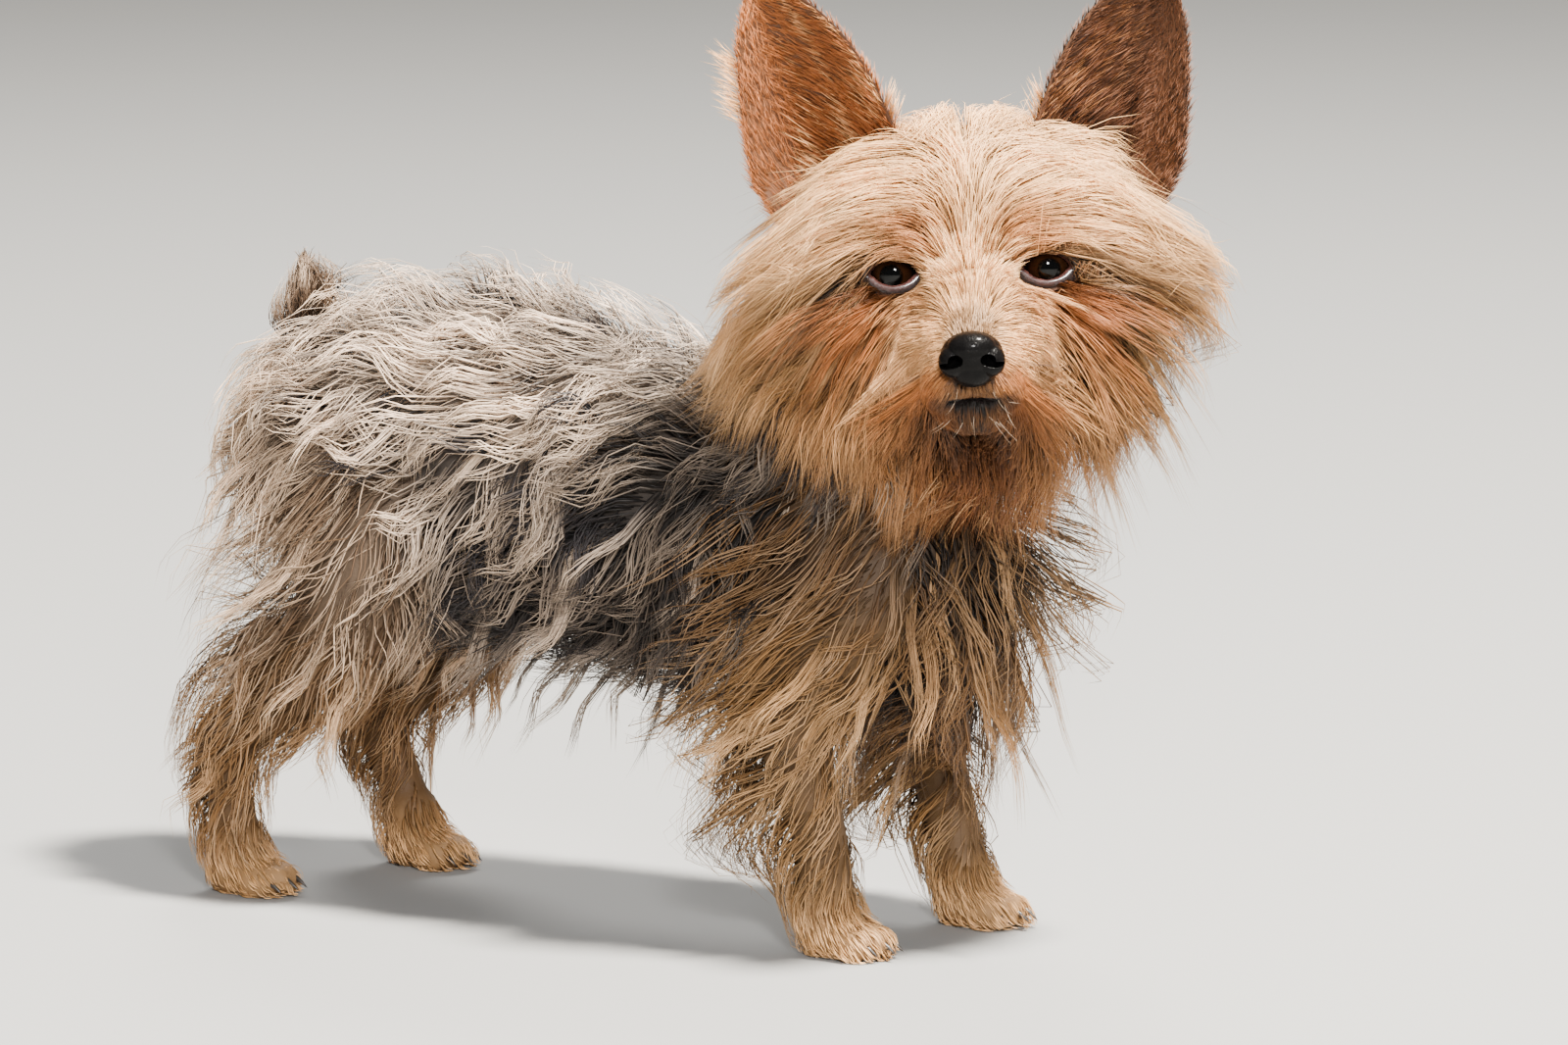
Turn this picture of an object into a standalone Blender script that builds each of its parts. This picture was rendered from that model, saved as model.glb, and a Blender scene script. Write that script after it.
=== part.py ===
"""A Yorkshire terrier as a still, life-size museum model.

The dog stands on four paws and turns its head to its own right.
Frame: +Z up, the dog faces -Y, its left side is +X, and it stands on Z = 0.
Tables hold millimetres and are turned into metres where they are read.
"""

import math
import random

import bmesh
import bpy
from mathutils import Matrix, Vector
from mathutils.bvhtree import BVHTree

MM = 0.001
GAP = 0.3 * MM

# Share of the coat's depth that the forms below the locks take in.
COAT_SHARE = 0.48

# Head: its place, how far it turns to the dog's right and how much it tilts.
HEAD_TURN = math.radians(-64)
HEAD_TILT = math.radians(-2.6)
EYE_MID = (-33, -111, 214)

# Eyes, in the head's frame: x to the dog's left, y back, z up, from between the eyes.
EYE_SIDE = 23
EYE_BACK = 5
EYE_RADIUS = 8
LID_RADII = (11.5, 9.6, 9.6)
EYE_OPENING = (8.2, 4.4, 4.0)

# Trunk stations: x, y, z, half width, half height, coat depth.
TRUNK = [
    (0, -88, 122, 24, 26, 12),
    (0, -70, 121, 36, 42, 14),
    (0, -40, 123, 41, 46, 13),
    (0, -6, 129, 41, 44, 15),
    (0, 32, 138, 38, 44, 18),
    (0, 72, 145, 36, 45, 20),
    (0, 106, 146, 33, 38, 20),
    (0, 132, 142, 29, 31, 18),
    (0, 144, 134, 19, 22, 16),
]
NECK = [
    (-6, -90, 202, 19, 19, 6),
    (-7, -86, 188, 24, 26, 13),
    (-4, -72, 165, 30, 32, 14),
    (0, -50, 140, 34, 36, 12),
]
TAIL = [
    (0, 129, 160, 9, 9, 5),
    (0, 140, 177, 6, 6, 7),
    (0, 141, 193, 3, 3, 5),
]

# Leg stations from the body down, for a leg on the dog's left side.
FORELEG = [
    (24, -50, 140, 13, 24, 4),
    (34, -74, 112, 13, 18, 8),
    (35, -54, 86, 12, 15, 11),
    (34, -54, 60, 9.5, 10.5, 11),
    (32, -60, 34, 8, 8.5, 8),
    (31, -62, 14, 8.5, 9, 5),
]
HINDLEG = [
    (20, 104, 146, 17, 28, 4),
    (31, 102, 116, 17, 26, 9),
    (36, 104, 90, 14, 18, 12),
    (35, 127, 66, 9, 12, 12),
    (34, 147, 46, 7, 9, 10),
    (33, 144, 30, 6.5, 7.5, 8),
    (32, 141, 14, 8, 9, 6),
]

# Each leg: its stations, which side it is on, and how far back the paw is set.
LEGS = {
    "front_leg_left": (FORELEG, 1, -15),
    "front_leg_right": (FORELEG, -1, 0),
    "hind_leg_left": (HINDLEG, 1, -18),
    "hind_leg_right": (HINDLEG, -1, 9),
}
PAW_HEIGHT = 19

# Long hair of the chest, and behind the legs: centre and radii of the flesh beneath,
# then centre and radii at the tips of the coat. Those of a leg are for its left side.
BIB = [((0, -84, 116), (30, 18, 32), (8, -97, 105), (44, 42, 50))]
FEATHERS = {
    "front": [((35, -52, 66), (9, 10, 22), (35, -33, 63), (15, 34, 36))],
    "hind": [((34, 132, 70), (9, 12, 20), (30, 144, 90), (21, 29, 46))],
}

# Head forms in the head's frame: centre, radii, coat depth.
SKULL_FORMS = [
    ((0, 24, 9), (33, 35, 31), 10),
    ((0, 7, 9), (26, 18, 20), 7),
    ((0, 46, -4), (26, 18, 24), 10),
]
PAIRED_HEAD_FORMS = [
    ((20, 3, 9), (10, 8, 6), 3),
    ((21, 14, -14), (16, 22, 17), 8),
    ((7.5, -19, -30), (7.5, 9, 7), 2),
]
MUZZLE = [
    (0, 10, -16, 20, 18, 4),
    (0, -10, -20, 16, 13.5, 3),
    (0, -20, -23.5, 12.5, 11, 2),
]
JAW = [
    (0, 18, -30, 18, 10, 4),
    (0, -6, -37, 12.5, 7, 4),
    (0, -17, -38.5, 8.5, 5, 4),
]
# Long hair of the cheeks and beard, as the chest's.
RUFF = [
    ((24, 20, -12), (17, 20, 22), (43, 19, -21), (33, 27, 48)),
    ((10, 10, -30), (12, 16, 12), (24, 4, -46), (25, 22, 28)),
    ((4, 14, -30), (10, 14, 10), (6, 10, -50), (18, 20, 26)),
]

# Nose pad and nostrils, in the head's frame.
NOSE_FORMS = [((0, -30, -22), (9.3, 7, 7.2)), ((0, -30, -27), (5.2, 5, 5))]
NOSTRIL = ((4.7, -37.5, -23.4), (2.1, 4, 1.9))

# Lid ridges: how far outside the opening they run, and radii of the upper and lower.
LID_MARGIN = 1.1
LID_RIDGES = (1.3, 0.9)
LID_STATIONS = 12

# Closed mouth: height of its line at the middle and how far it dips at each side, the
# turn of its corners round the muzzle, then the line's height and depth, and the lips.
MOUTH_HEIGHT = -35.2
MOUTH_DIP = 2.4
MOUTH_TURN = 64
MOUTH_STATIONS = 11
MOUTH_LINE = (1.0, 1.8)
LIP_RADIUS = 1.2
PHILTRUM_WIDTH = 0.7

# Ears, in the head's frame, for the dog's left ear.
EAR_BASE = (40, 18, 34)
EAR_TIP = (61, 19, 90)
EAR_HALF_WIDTH = 20
EAR_CUP = 10
EAR_WALL = 2.4
EAR_ROWS = 7
EAR_COLUMNS = 6

# Paws, for one on the dog's left: toe centres and radii from the paw's middle.
PAW_FORMS = [((0, 2, 7), (10, 11, 9.5)), ((0, 4, 17), (8.5, 9, 9))]
TOES = [(-7.2, -7.0, 4.4), (-2.6, -10.5, 5), (2.6, -10.5, 5), (7.2, -7.0, 4.4)]
TOE_RADII = (3.9, 7.0, 5.4)
CLAW_LENGTH = 7.5
CLAW_RADIUS = 1.5

# Locks of each part: how many, length, half width, half thickness, turn of the wave
# in degrees, and how many stretches a lock has.
LOCKS = {
    "tail": (7, 17, 3, 1.1, 12, 3),
    "hind_leg_left": (17, 36, 7, 1.4, 18, 3),
    "hind_leg_right": (17, 36, 7, 1.4, 18, 3),
    "front_leg_left": (18, 38, 6.5, 1.4, 16, 3),
    "front_leg_right": (18, 38, 6.5, 1.4, 16, 3),
    "torso": (72, 52, 9.5, 1.6, 26, 4),
    "neck": (18, 38, 9, 1.5, 18, 3),
    "head": (48, 40, 8.5, 1.3, 8, 3),
}
# Tries to keep a lock clear of other parts: share of its length, and lift in mm.
TRIES = ((1, 0), (1, 2.5), (1, 5), (0.75, 1), (0.75, 4), (0.55, 0), (0.55, 3), (0.45, 1))
OVERSHOOT = 3
ROOT_DEPTH = 3

# Fineness of each part's skin below the locks: size of its cells, and triangles.
SKINS = {
    "torso": (3, 700),
    "neck": (3, 260),
    "head": (1.5, 1450),
    "tail": (1.2, 110),
    "front_leg_left": (2, 250),
    "front_leg_right": (2, 250),
    "hind_leg_left": (2, 250),
    "hind_leg_right": (2, 250),
}
STEEL_PARTS = ("torso", "tail", "hind_leg_left", "hind_leg_right")
LOCK_TAPER = (0.75, 1, 0.95, 0.8, 0.5)

COLOURS = {
    "tan": (0.62, 0.40, 0.22),
    "steel": (0.27, 0.25, 0.25),
    "ear": (0.36, 0.15, 0.07),
    "black": (0.02, 0.018, 0.018),
    "eye": (0.03, 0.015, 0.01),
}


def clear_scene():
    for found in list(bpy.data.objects):
        bpy.data.objects.remove(found)


def material(name):
    made = bpy.data.materials.get(name)
    if made:
        return made
    made = bpy.data.materials.new(name)
    made.use_nodes = True
    shader = made.node_tree.nodes["Principled BSDF"]
    shader.inputs["Base Color"].default_value = (*COLOURS[name], 1)
    shader.inputs["Roughness"].default_value = 0.25 if name in ("black", "eye") else 0.7
    return made


def point(values):
    return Vector(values[:3]) * MM


def mirrored(values, side):
    return (values[0] * side, *values[1:])


HEAD_FRAME = (
    Matrix.Translation(point(EYE_MID))
    @ Matrix.Rotation(HEAD_TURN, 4, "Z")
    @ Matrix.Rotation(HEAD_TILT, 4, "Y")
)


def object_from(bm, name):
    mesh = bpy.data.meshes.new(name)
    bmesh.ops.recalc_face_normals(bm, faces=bm.faces)
    bm.to_mesh(mesh)
    bm.free()
    made = bpy.data.objects.new(name, mesh)
    bpy.context.scene.collection.objects.link(made)
    return made


def bake(obj):
    """Replaces the object's mesh with what its modifiers make of it."""
    graph = bpy.context.evaluated_depsgraph_get()
    mesh = bpy.data.meshes.new_from_object(obj.evaluated_get(graph))
    obj.modifiers.clear()
    obj.data = mesh
    return obj


def add_ellipsoid(bm, centre, radii, frame=None, detail=3):
    place = Matrix.Translation(point(centre)) @ Matrix.Diagonal((*(Vector(radii) * MM), 1))
    bmesh.ops.create_icosphere(
        bm, subdivisions=detail, radius=1, matrix=(frame or Matrix()) @ place
    )


def smooth_rows(stations, per_span):
    """Catmull-Rom rows through the stations, all their numbers alike."""
    rows = []
    last = len(stations) - 1
    for i in range(last):
        a, b, c, d = (stations[min(max(k, 0), last)] for k in (i - 1, i, i + 1, i + 2))
        for step in range(per_span):
            t = step / per_span
            rows.append(
                [
                    0.5 * (2 * q + (r - p) * t + (2 * p - 5 * q + 4 * r - s) * t**2
                           + (3 * q - p - 3 * r + s) * t**3)
                    for p, q, r, s in zip(a, b, c, d)
                ]
            )
    rows.append(list(stations[last]))
    return rows


def add_tube(bm, stations, share=0.0, frame=None, sides=20, per_span=5):
    """A round-ended tube through stations of x, y, z, half width, half height and coat."""
    rows = smooth_rows(stations, per_span)
    centres = [point(row) for row in rows]
    across = Vector((1, 0, 0))
    rings = []

    def ring(centre, along, wide, high):
        side = (across - along * across.dot(along)).normalized()
        up = along.cross(side)
        corners = []
        for k in range(sides):
            turn = 2 * math.pi * k / sides
            corners.append(centre + side * wide * math.cos(turn) + up * high * math.sin(turn))
        rings.append([bm.verts.new((frame or Matrix()) @ c) for c in corners])

    last = len(rows) - 1
    for i, row in enumerate(rows):
        along = (centres[min(i + 1, last)] - centres[max(i - 1, 0)]).normalized()
        coat = row[5] * share
        wide, high = (row[3] + coat) * MM, (row[4] + coat) * MM
        reach = 0.7 * min(wide, high)
        swell = [] if 0 < i < last else [75, 50, 25]
        if i == 0:
            for turn in map(math.radians, swell):
                ring(centres[0] - along * reach * math.sin(turn), along,
                     wide * math.cos(turn), high * math.cos(turn))
        ring(centres[i], along, wide, high)
        if i == last:
            for turn in map(math.radians, reversed(swell)):
                ring(centres[i] + along * reach * math.sin(turn), along,
                     wide * math.cos(turn), high * math.cos(turn))
    for low, high in zip(rings, rings[1:]):
        for k in range(sides):
            bm.faces.new((low[k], low[(k + 1) % sides], high[(k + 1) % sides], high[k]))
    bm.faces.new(rings[0])
    bm.faces.new(rings[-1])


def grown(radii, coat, share):
    return tuple(r + coat * share for r in radii)


def add_blends(bm, forms, share, side=1, shift=0, frame=None):
    """Ellipsoids part way from the flesh to the tips of the long hair over it."""
    for centre, radii, tip_centre, tip_radii in forms:
        place = Vector(centre).lerp(Vector(tip_centre), share) + Vector((0, shift, 0))
        add_ellipsoid(bm, mirrored(place, side), Vector(radii).lerp(Vector(tip_radii), share), frame)


def add_head(bm, share):
    for centre, radii, coat in SKULL_FORMS:
        add_ellipsoid(bm, centre, grown(radii, coat, share), HEAD_FRAME)
    for side in (-1, 1):
        for centre, radii, coat in PAIRED_HEAD_FORMS:
            add_ellipsoid(bm, mirrored(centre, side), grown(radii, coat, share), HEAD_FRAME)
        add_ellipsoid(bm, (EYE_SIDE * side, EYE_BACK, 0), LID_RADII, HEAD_FRAME)
        add_blends(bm, RUFF, share, side, frame=HEAD_FRAME)
    add_tube(bm, MUZZLE, share, HEAD_FRAME)
    add_tube(bm, JAW, share, HEAD_FRAME)


def leg_stations(stations, side, shift):
    """The stations on one side, the paw end set back and the body end left in place."""
    last = len(stations) - 1
    made = []
    for i, (x, y, *rest) in enumerate(stations):
        made.append((x * side, y + shift * i / last, *rest))
    return made


def add_leg(bm, name, share):
    stations, side, shift = LEGS[name]
    add_tube(bm, leg_stations(stations, side, shift), share)
    add_blends(bm, FEATHERS[name.split("_")[0]], share, side, shift * 0.6)


def add_torso(bm, share):
    add_tube(bm, TRUNK, share)
    add_blends(bm, BIB, share)


def add_forms(bm, name, share):
    if name == "head":
        add_head(bm, share)
    elif name == "torso":
        add_torso(bm, share)
    elif name == "neck":
        add_tube(bm, NECK, share)
    elif name == "tail":
        add_tube(bm, TAIL, share)
    else:
        add_leg(bm, name, share)


def one_skin(obj, voxel, smoothing):
    """Turns crossing closed forms into one smooth closed skin."""
    remesh = obj.modifiers.new("One skin", "REMESH")
    remesh.mode = "VOXEL"
    remesh.voxel_size = voxel * MM
    ease = obj.modifiers.new("Ease", "SMOOTH")
    ease.factor = 0.5
    ease.iterations = smoothing
    return bake(obj)


def skin(name, voxel, triangles):
    """The forms of one part of the body in one closed skin."""
    bm = bmesh.new()
    add_forms(bm, name, COAT_SHARE)
    return thinned(one_skin(object_from(bm, name), voxel, 6), triangles)


def thinned(obj, triangles):
    count = sum(len(face.vertices) - 2 for face in obj.data.polygons)
    if count > triangles:
        fewer = obj.modifiers.new("Fewer faces", "DECIMATE")
        fewer.ratio = triangles / count
        fewer.use_collapse_triangulate = True
        bake(obj)
    return obj


def boolean(obj, operation, operands, solver="EXACT"):
    """Applies one Boolean on a collection of closed meshes, and removes them."""
    group = bpy.data.collections.new("operands")
    for operand in operands:
        group.objects.link(operand)
    work = obj.modifiers.new("Join", "BOOLEAN")
    work.operation = operation
    work.operand_type = "COLLECTION"
    work.collection = group
    work.solver = solver
    bake(obj)
    for operand in operands:
        bpy.data.objects.remove(operand)
    bpy.data.collections.remove(group)
    return obj


def islands(bm):
    """The connected faces of a mesh, in groups."""
    left = set(bm.faces)
    groups = []
    while left:
        group, edge = set(), [left.pop()]
        while edge:
            face = edge.pop()
            group.add(face)
            for near in (f for e in face.edges for f in e.link_faces if f in left):
                left.discard(near)
                edge.append(near)
        groups.append(group)
    return groups


def volume(faces):
    total = 0
    for face in faces:
        corners = [v.co for v in face.verts]
        for b, c in zip(corners[1:], corners[2:]):
            total += corners[0].dot(b.cross(c)) / 6
    return total


def keep_largest(obj):
    bm = bmesh.new()
    bm.from_mesh(obj.data)
    groups = sorted(islands(bm), key=volume)
    spare = [face for group in groups[:-1] for face in group]
    bmesh.ops.delete(bm, geom=spare, context="FACES")
    bm.to_mesh(obj.data)
    bm.free()
    return obj


def solids_between(low, high):
    """A block that takes away what lies between two heights."""
    bm = bmesh.new()
    size = Matrix.Diagonal((0.6, 0.6, (high - low) * MM, 1))
    place = Matrix.Translation((0, 0, (low + high) / 2 * MM))
    bmesh.ops.create_cube(bm, size=1, matrix=place @ size)
    return object_from(bm, "block")


def inflated(obj, by=GAP * 1.2):
    """A copy that stands out all round by a little more than the gap."""
    bm = bmesh.new()
    bm.from_mesh(obj.data)
    bm.normal_update()
    for vertex in bm.verts:
        vertex.co += vertex.normal * by * min(vertex.calc_shell_factor(), 3)
    return object_from(bm, obj.name + "_room")


def copied(obj):
    made = bpy.data.objects.new(obj.name + "_copy", obj.data.copy())
    bpy.context.scene.collection.objects.link(made)
    return made


def carve(obj, rooms):
    """Cuts one part clear of the room that its neighbours take."""
    boolean(obj, "DIFFERENCE", [copied(room) for room in rooms])
    return keep_largest(obj)


def surface_of(objects):
    corners, faces = [], []
    for obj in objects:
        start = len(corners)
        corners += [v.co.copy() for v in obj.data.vertices]
        faces += [[start + k for k in face.vertices] for face in obj.data.polygons]
    return BVHTree.FromPolygons(corners, faces)


def whole(share, voxel):
    """The surface of the whole body at one share of the coat's depth."""
    bm = bmesh.new()
    for name in LOCKS:
        add_forms(bm, name, share)
    body = one_skin(object_from(bm, "whole"), voxel, 6)
    surface = surface_of([body])
    bpy.data.objects.remove(body)
    return surface


def on_head(place):
    return HEAD_FRAME.inverted() @ place / MM


def lie(name, place, normal):
    """Which way the coat runs at a place."""
    x, y, _ = place / MM
    side = math.copysign(1, x)
    up = max(normal.z, 0)
    if name == "head":
        across, back, high = on_head(place)
        part = max(-1, min(1, across / 8))
        if high > 14:
            run = (part * 0.9, 0.3, -0.25 - abs(across) / 22)
        elif abs(across) < 20 and back < 14:
            run = (part * 0.3, -0.05, -1)
        else:
            run = (part * 0.4, 0.25, -1)
        return HEAD_FRAME.to_3x3() @ Vector(run)
    if name == "tail":
        return Vector((0, 0.3, 1))
    if name == "neck":
        return Vector((side * 0.15, 0.45 + 0.5 * up, -1 + 0.4 * up))
    if name == "torso":
        if y < -84:
            return Vector((side * 0.2, -0.1, -1))
        if y > 140:
            return Vector((side * 0.15, 0.3, -1))
        back = 0.2 + 0.7 * min(max((y + 84) / 140, 0), 1)
        return Vector((side * 0.6 * up, back + 0.4 * up, -1 + 0.7 * up))
    return Vector((side * 0.08, 0.7 if name.startswith("front") else 0.5, -1))


def is_bare(name, place):
    """Places whose hair is too short for locks: the face, and the feet."""
    if name == "head":
        across, back, high = on_head(place)
        face = back < 16 and abs(across) < 31 and -36 < high < 20
        return face or (back < -2 and high > -44)
    return name not in ("torso", "neck", "tail") and place.z < 24 * MM


def weight(name, place, normal):
    """How close together the locks stand: closest on chest and ruff, farthest on the belly."""
    if name == "head":
        return 1.35 if on_head(place).z < -12 else 1
    if name == "torso" and place.y < -80 * MM:
        return 1.4
    return 0.6 if normal.z < -0.6 else 1


def spread(obj, count, flesh, picks):
    """Root places and normals, spread evenly over the outer side of a part."""
    mesh = obj.data
    mesh.calc_loop_triangles()
    corners = [[mesh.vertices[k].co for k in t.vertices] for t in mesh.loop_triangles]
    areas = [(b - a).cross(c - a).length for a, b, c in corners]
    found = []
    for a, b, c in picks.choices(corners, areas, k=14 * count):
        u, v = picks.random(), picks.random()
        if u + v > 1:
            u, v = 1 - u, 1 - v
        place = a + (b - a) * u + (c - a) * v
        near, normal, _, away = flesh.find_nearest(place)
        if away < 1.5 * MM and not is_bare(obj.name, place):
            found.append((place, normal, weight(obj.name, place, normal)))
    chosen = [found.pop(0)]
    gaps = [(place - chosen[0][0]).length for place, _, _ in found]
    while found and len(chosen) < count:
        k = max(range(len(found)), key=lambda i: gaps[i] * found[i][2])
        chosen.append(found[k])
        gaps = [min(g, (p - found[k][0]).length) for g, (p, _, _) in zip(gaps, found)]
    return [(place, normal) for place, normal, _ in chosen]


def lock_path(name, root, normal, length, thick, wave, phase, stretches, lift, flesh, tips):
    """Stations along a lock, each a place and the way it faces, from its root to its tip."""
    run = lie(name, root, normal)
    run = (run - normal * run.dot(normal)).normalized()
    path = [(root - normal * ROOT_DEPTH * MM - run * 2 * MM, normal)]
    place = root
    for i in range(1, stretches + 1):
        along = i / stretches
        run = lie(name, place, normal)
        outward = run.dot(normal)
        run -= normal * (outward if outward < 0 else 0.6 * outward)
        turn = math.radians(wave) * math.cos(phase + 5.5 * along)
        run = Matrix.Rotation(turn, 3, normal) @ run.normalized()
        place = place + run * length * MM / stretches
        near, normal, _, _ = flesh.find_nearest(place)
        above = (place - near).dot(normal)
        depth = tips.ray_cast(near + normal * 0.1 * MM, normal, 45 * MM)[3] or 6 * MM
        target = depth * (0.55 + 0.45 * along) - thick * MM + lift * MM * along
        place = place + normal * max(target - above, 0)
        edge, outer, _, _ = tips.find_nearest(place)
        place -= outer * max((place - edge).dot(outer) - (OVERSHOOT + lift) * MM, 0)
        place.z = max(place.z, 3 * MM)
        path.append((place, normal))
    return path


def lock_mesh(path, half_width, half_thick, extra=0.0):
    """A flat tapered lock with a pointed tip, split into triangles."""
    bm = bmesh.new()
    rings = []
    for i, (place, normal) in enumerate(path[:-1]):
        along = (path[i + 1][0] - path[max(i - 1, 0)][0]).normalized()
        across = along.cross(normal).normalized()
        face = across.cross(along)
        wide = half_width * LOCK_TAPER[i + 5 - len(path) + 1 if i else 0] * MM + extra
        thick = half_thick * (1 - 0.45 * i / len(path)) * MM + extra
        rings.append([
            bm.verts.new(place + offset)
            for offset in (across * wide, face * thick, -across * wide, -face * thick)
        ])
    end = (path[-1][0] - path[-2][0]).normalized()
    tip = bm.verts.new(path[-1][0] + end * extra)
    for low, far in zip(rings, rings[1:]):
        for k in range(4):
            a, b, c, d = low[k], low[(k + 1) % 4], far[(k + 1) % 4], far[k]
            bm.faces.new((a, b, c))
            bm.faces.new((a, c, d))
    for k in range(4):
        bm.faces.new((rings[-1][k], rings[-1][(k + 1) % 4], tip))
    bm.faces.new(rings[0])
    return bm


def grow_locks(obj, seed, flesh, tips):
    """Fuses locks to a part, each bent, lifted or cut short to stay clear of other parts."""
    count, length, half_width, half_thick, wave, stretches = LOCKS[obj.name]
    picks = random.Random(seed)
    others = surface_of(o for o in bpy.context.scene.objects if o.type == "MESH" and o != obj)
    locks = []
    for root, normal in spread(obj, count, flesh, picks):
        long = length * picks.uniform(0.8, 1.2)
        wide = half_width * picks.uniform(0.85, 1.15)
        phase = picks.uniform(0, math.tau)
        for share, lift in TRIES:
            path = lock_path(obj.name, root, normal, long * share, half_thick, wave, phase,
                             stretches, lift, flesh, tips)
            room = lock_mesh(path, wide * (0.5 + 0.5 * share), half_thick, 1.3 * GAP)
            clear = not BVHTree.FromBMesh(room).overlap(others)
            room.free()
            if clear:
                made = lock_mesh(path, wide * (0.5 + 0.5 * share), half_thick)
                locks.append(object_from(made, "lock"))
                break
    core = obj.data
    for _ in range(8):
        obj.data = core.copy()
        copies = [copied(lock) for lock in locks]
        boolean(obj, "UNION", copies, "MANIFOLD")
        keep_largest(obj)
        for place in touching_places(obj):
            locks.sort(key=lambda lock: surface_of([lock]).find_nearest(place)[3])
            bpy.data.objects.remove(locks.pop(0))
        if len(locks) == len(copies):
            break
    print(obj.name, len(locks), "locks of", count)
    for lock in locks:
        bpy.data.objects.remove(lock)
    return obj


def touching_places(obj):
    """Where a surface touches itself, once corners closer than a hair are one."""
    bm = bmesh.new()
    bm.from_mesh(obj.data)
    bmesh.ops.triangulate(bm, faces=bm.faces)
    bmesh.ops.remove_doubles(bm, verts=bm.verts, dist=0.0005 * MM)
    places = []
    for edge in bm.edges:
        middle = (edge.verts[0].co + edge.verts[1].co) / 2
        if len(edge.link_faces) != 2 and all((middle - p).length > 3 * MM for p in places):
            places.append(middle)
    bm.free()
    return places


def make_eye(name, side):
    bm = bmesh.new()
    add_ellipsoid(bm, (EYE_SIDE * side, EYE_BACK, 0), (EYE_RADIUS,) * 3, HEAD_FRAME, 2)
    eye = object_from(bm, name)
    eye.data.materials.append(material("eye"))
    return eye


def almond(count, margin=0.0):
    """Places round the opening between the lids, across and up from the eye's middle."""
    half, rise, fall = EYE_OPENING
    for k in range(count):
        turn = math.tau * k / count
        high = (rise if turn < math.pi else fall) + margin
        yield (half + margin) * math.cos(turn), high * math.sin(turn) * abs(math.sin(turn)) ** 0.3


def eye_cutters(side):
    """The ball's socket and the almond opening between the lids."""
    bm = bmesh.new()
    centre = (EYE_SIDE * side, EYE_BACK, 0)
    add_ellipsoid(bm, centre, (EYE_RADIUS + 0.35,) * 3, HEAD_FRAME, 2)
    socket = object_from(bm, "socket")
    bm = bmesh.new()
    corners = [bm.verts.new(HEAD_FRAME @ point((centre[0] + x, -14, z))) for x, z in almond(16)]
    front = bm.faces.new(corners)
    back = bmesh.ops.extrude_face_region(bm, geom=[front])["geom"]
    reach = HEAD_FRAME.to_3x3() @ Vector((0, 16 * MM, 0))
    bmesh.ops.translate(bm, vec=reach, verts=[v for v in back if isinstance(v, bmesh.types.BMVert)])
    return [socket, object_from(bm, "opening")]


def face_place(face, outside, inside):
    """Where a line between two places of the head's frame meets the face, and its way in."""
    first, last = HEAD_FRAME @ point(outside), HEAD_FRAME @ point(inside)
    way = (last - first).normalized()
    return face.ray_cast(first, way)[0], way


def add_ridge(bm, stations, closed=False, sides=4):
    """A round ridge through stations, each a place, the way it faces and a radius."""
    rings = []
    count = len(stations)
    for i, (place, facing, radius) in enumerate(stations):
        before = stations[i - 1 if closed else max(i - 1, 0)][0]
        after = stations[(i + 1) % count if closed else min(i + 1, count - 1)][0]
        along = (after - before).normalized()
        across = along.cross(facing).normalized()
        up = across.cross(along)
        turns = [math.tau * k / sides for k in range(sides)]
        rings.append([
            bm.verts.new(place + (across * math.cos(t) + up * math.sin(t)) * radius * MM)
            for t in turns
        ])
    for low, far in zip(rings, rings[1:] + (rings[:1] if closed else [])):
        for k in range(sides):
            bm.faces.new((low[k], low[(k + 1) % sides], far[(k + 1) % sides], far[k]))
    if not closed:
        bm.faces.new(rings[0])
        bm.faces.new(rings[-1])


def lid_ridges(face, side):
    bm = bmesh.new()
    stations = []
    for x, z in almond(LID_STATIONS, LID_MARGIN):
        across = EYE_SIDE * side + x
        place, way = face_place(face, (across, -40, z), (across, EYE_BACK, z))
        stations.append((place, -way, LID_RIDGES[0] if z > 0 else LID_RIDGES[1]))
    add_ridge(bm, stations, closed=True)
    return object_from(bm, "lids")


def mouth_places(face, lift):
    """Places along the mouth from corner to corner, round the muzzle, and the way out."""
    places = []
    for k in range(MOUTH_STATIONS):
        share = 2 * k / (MOUTH_STATIONS - 1) - 1
        turn = math.radians(MOUTH_TURN * share)
        high = MOUTH_HEIGHT - MOUTH_DIP * math.sin(math.pi * abs(share)) + lift
        outside = (50 * math.sin(turn), -50 * math.cos(turn), high)
        place, way = face_place(face, outside, (0, 0, high))
        places.append((place, -way, share))
    return places


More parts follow.
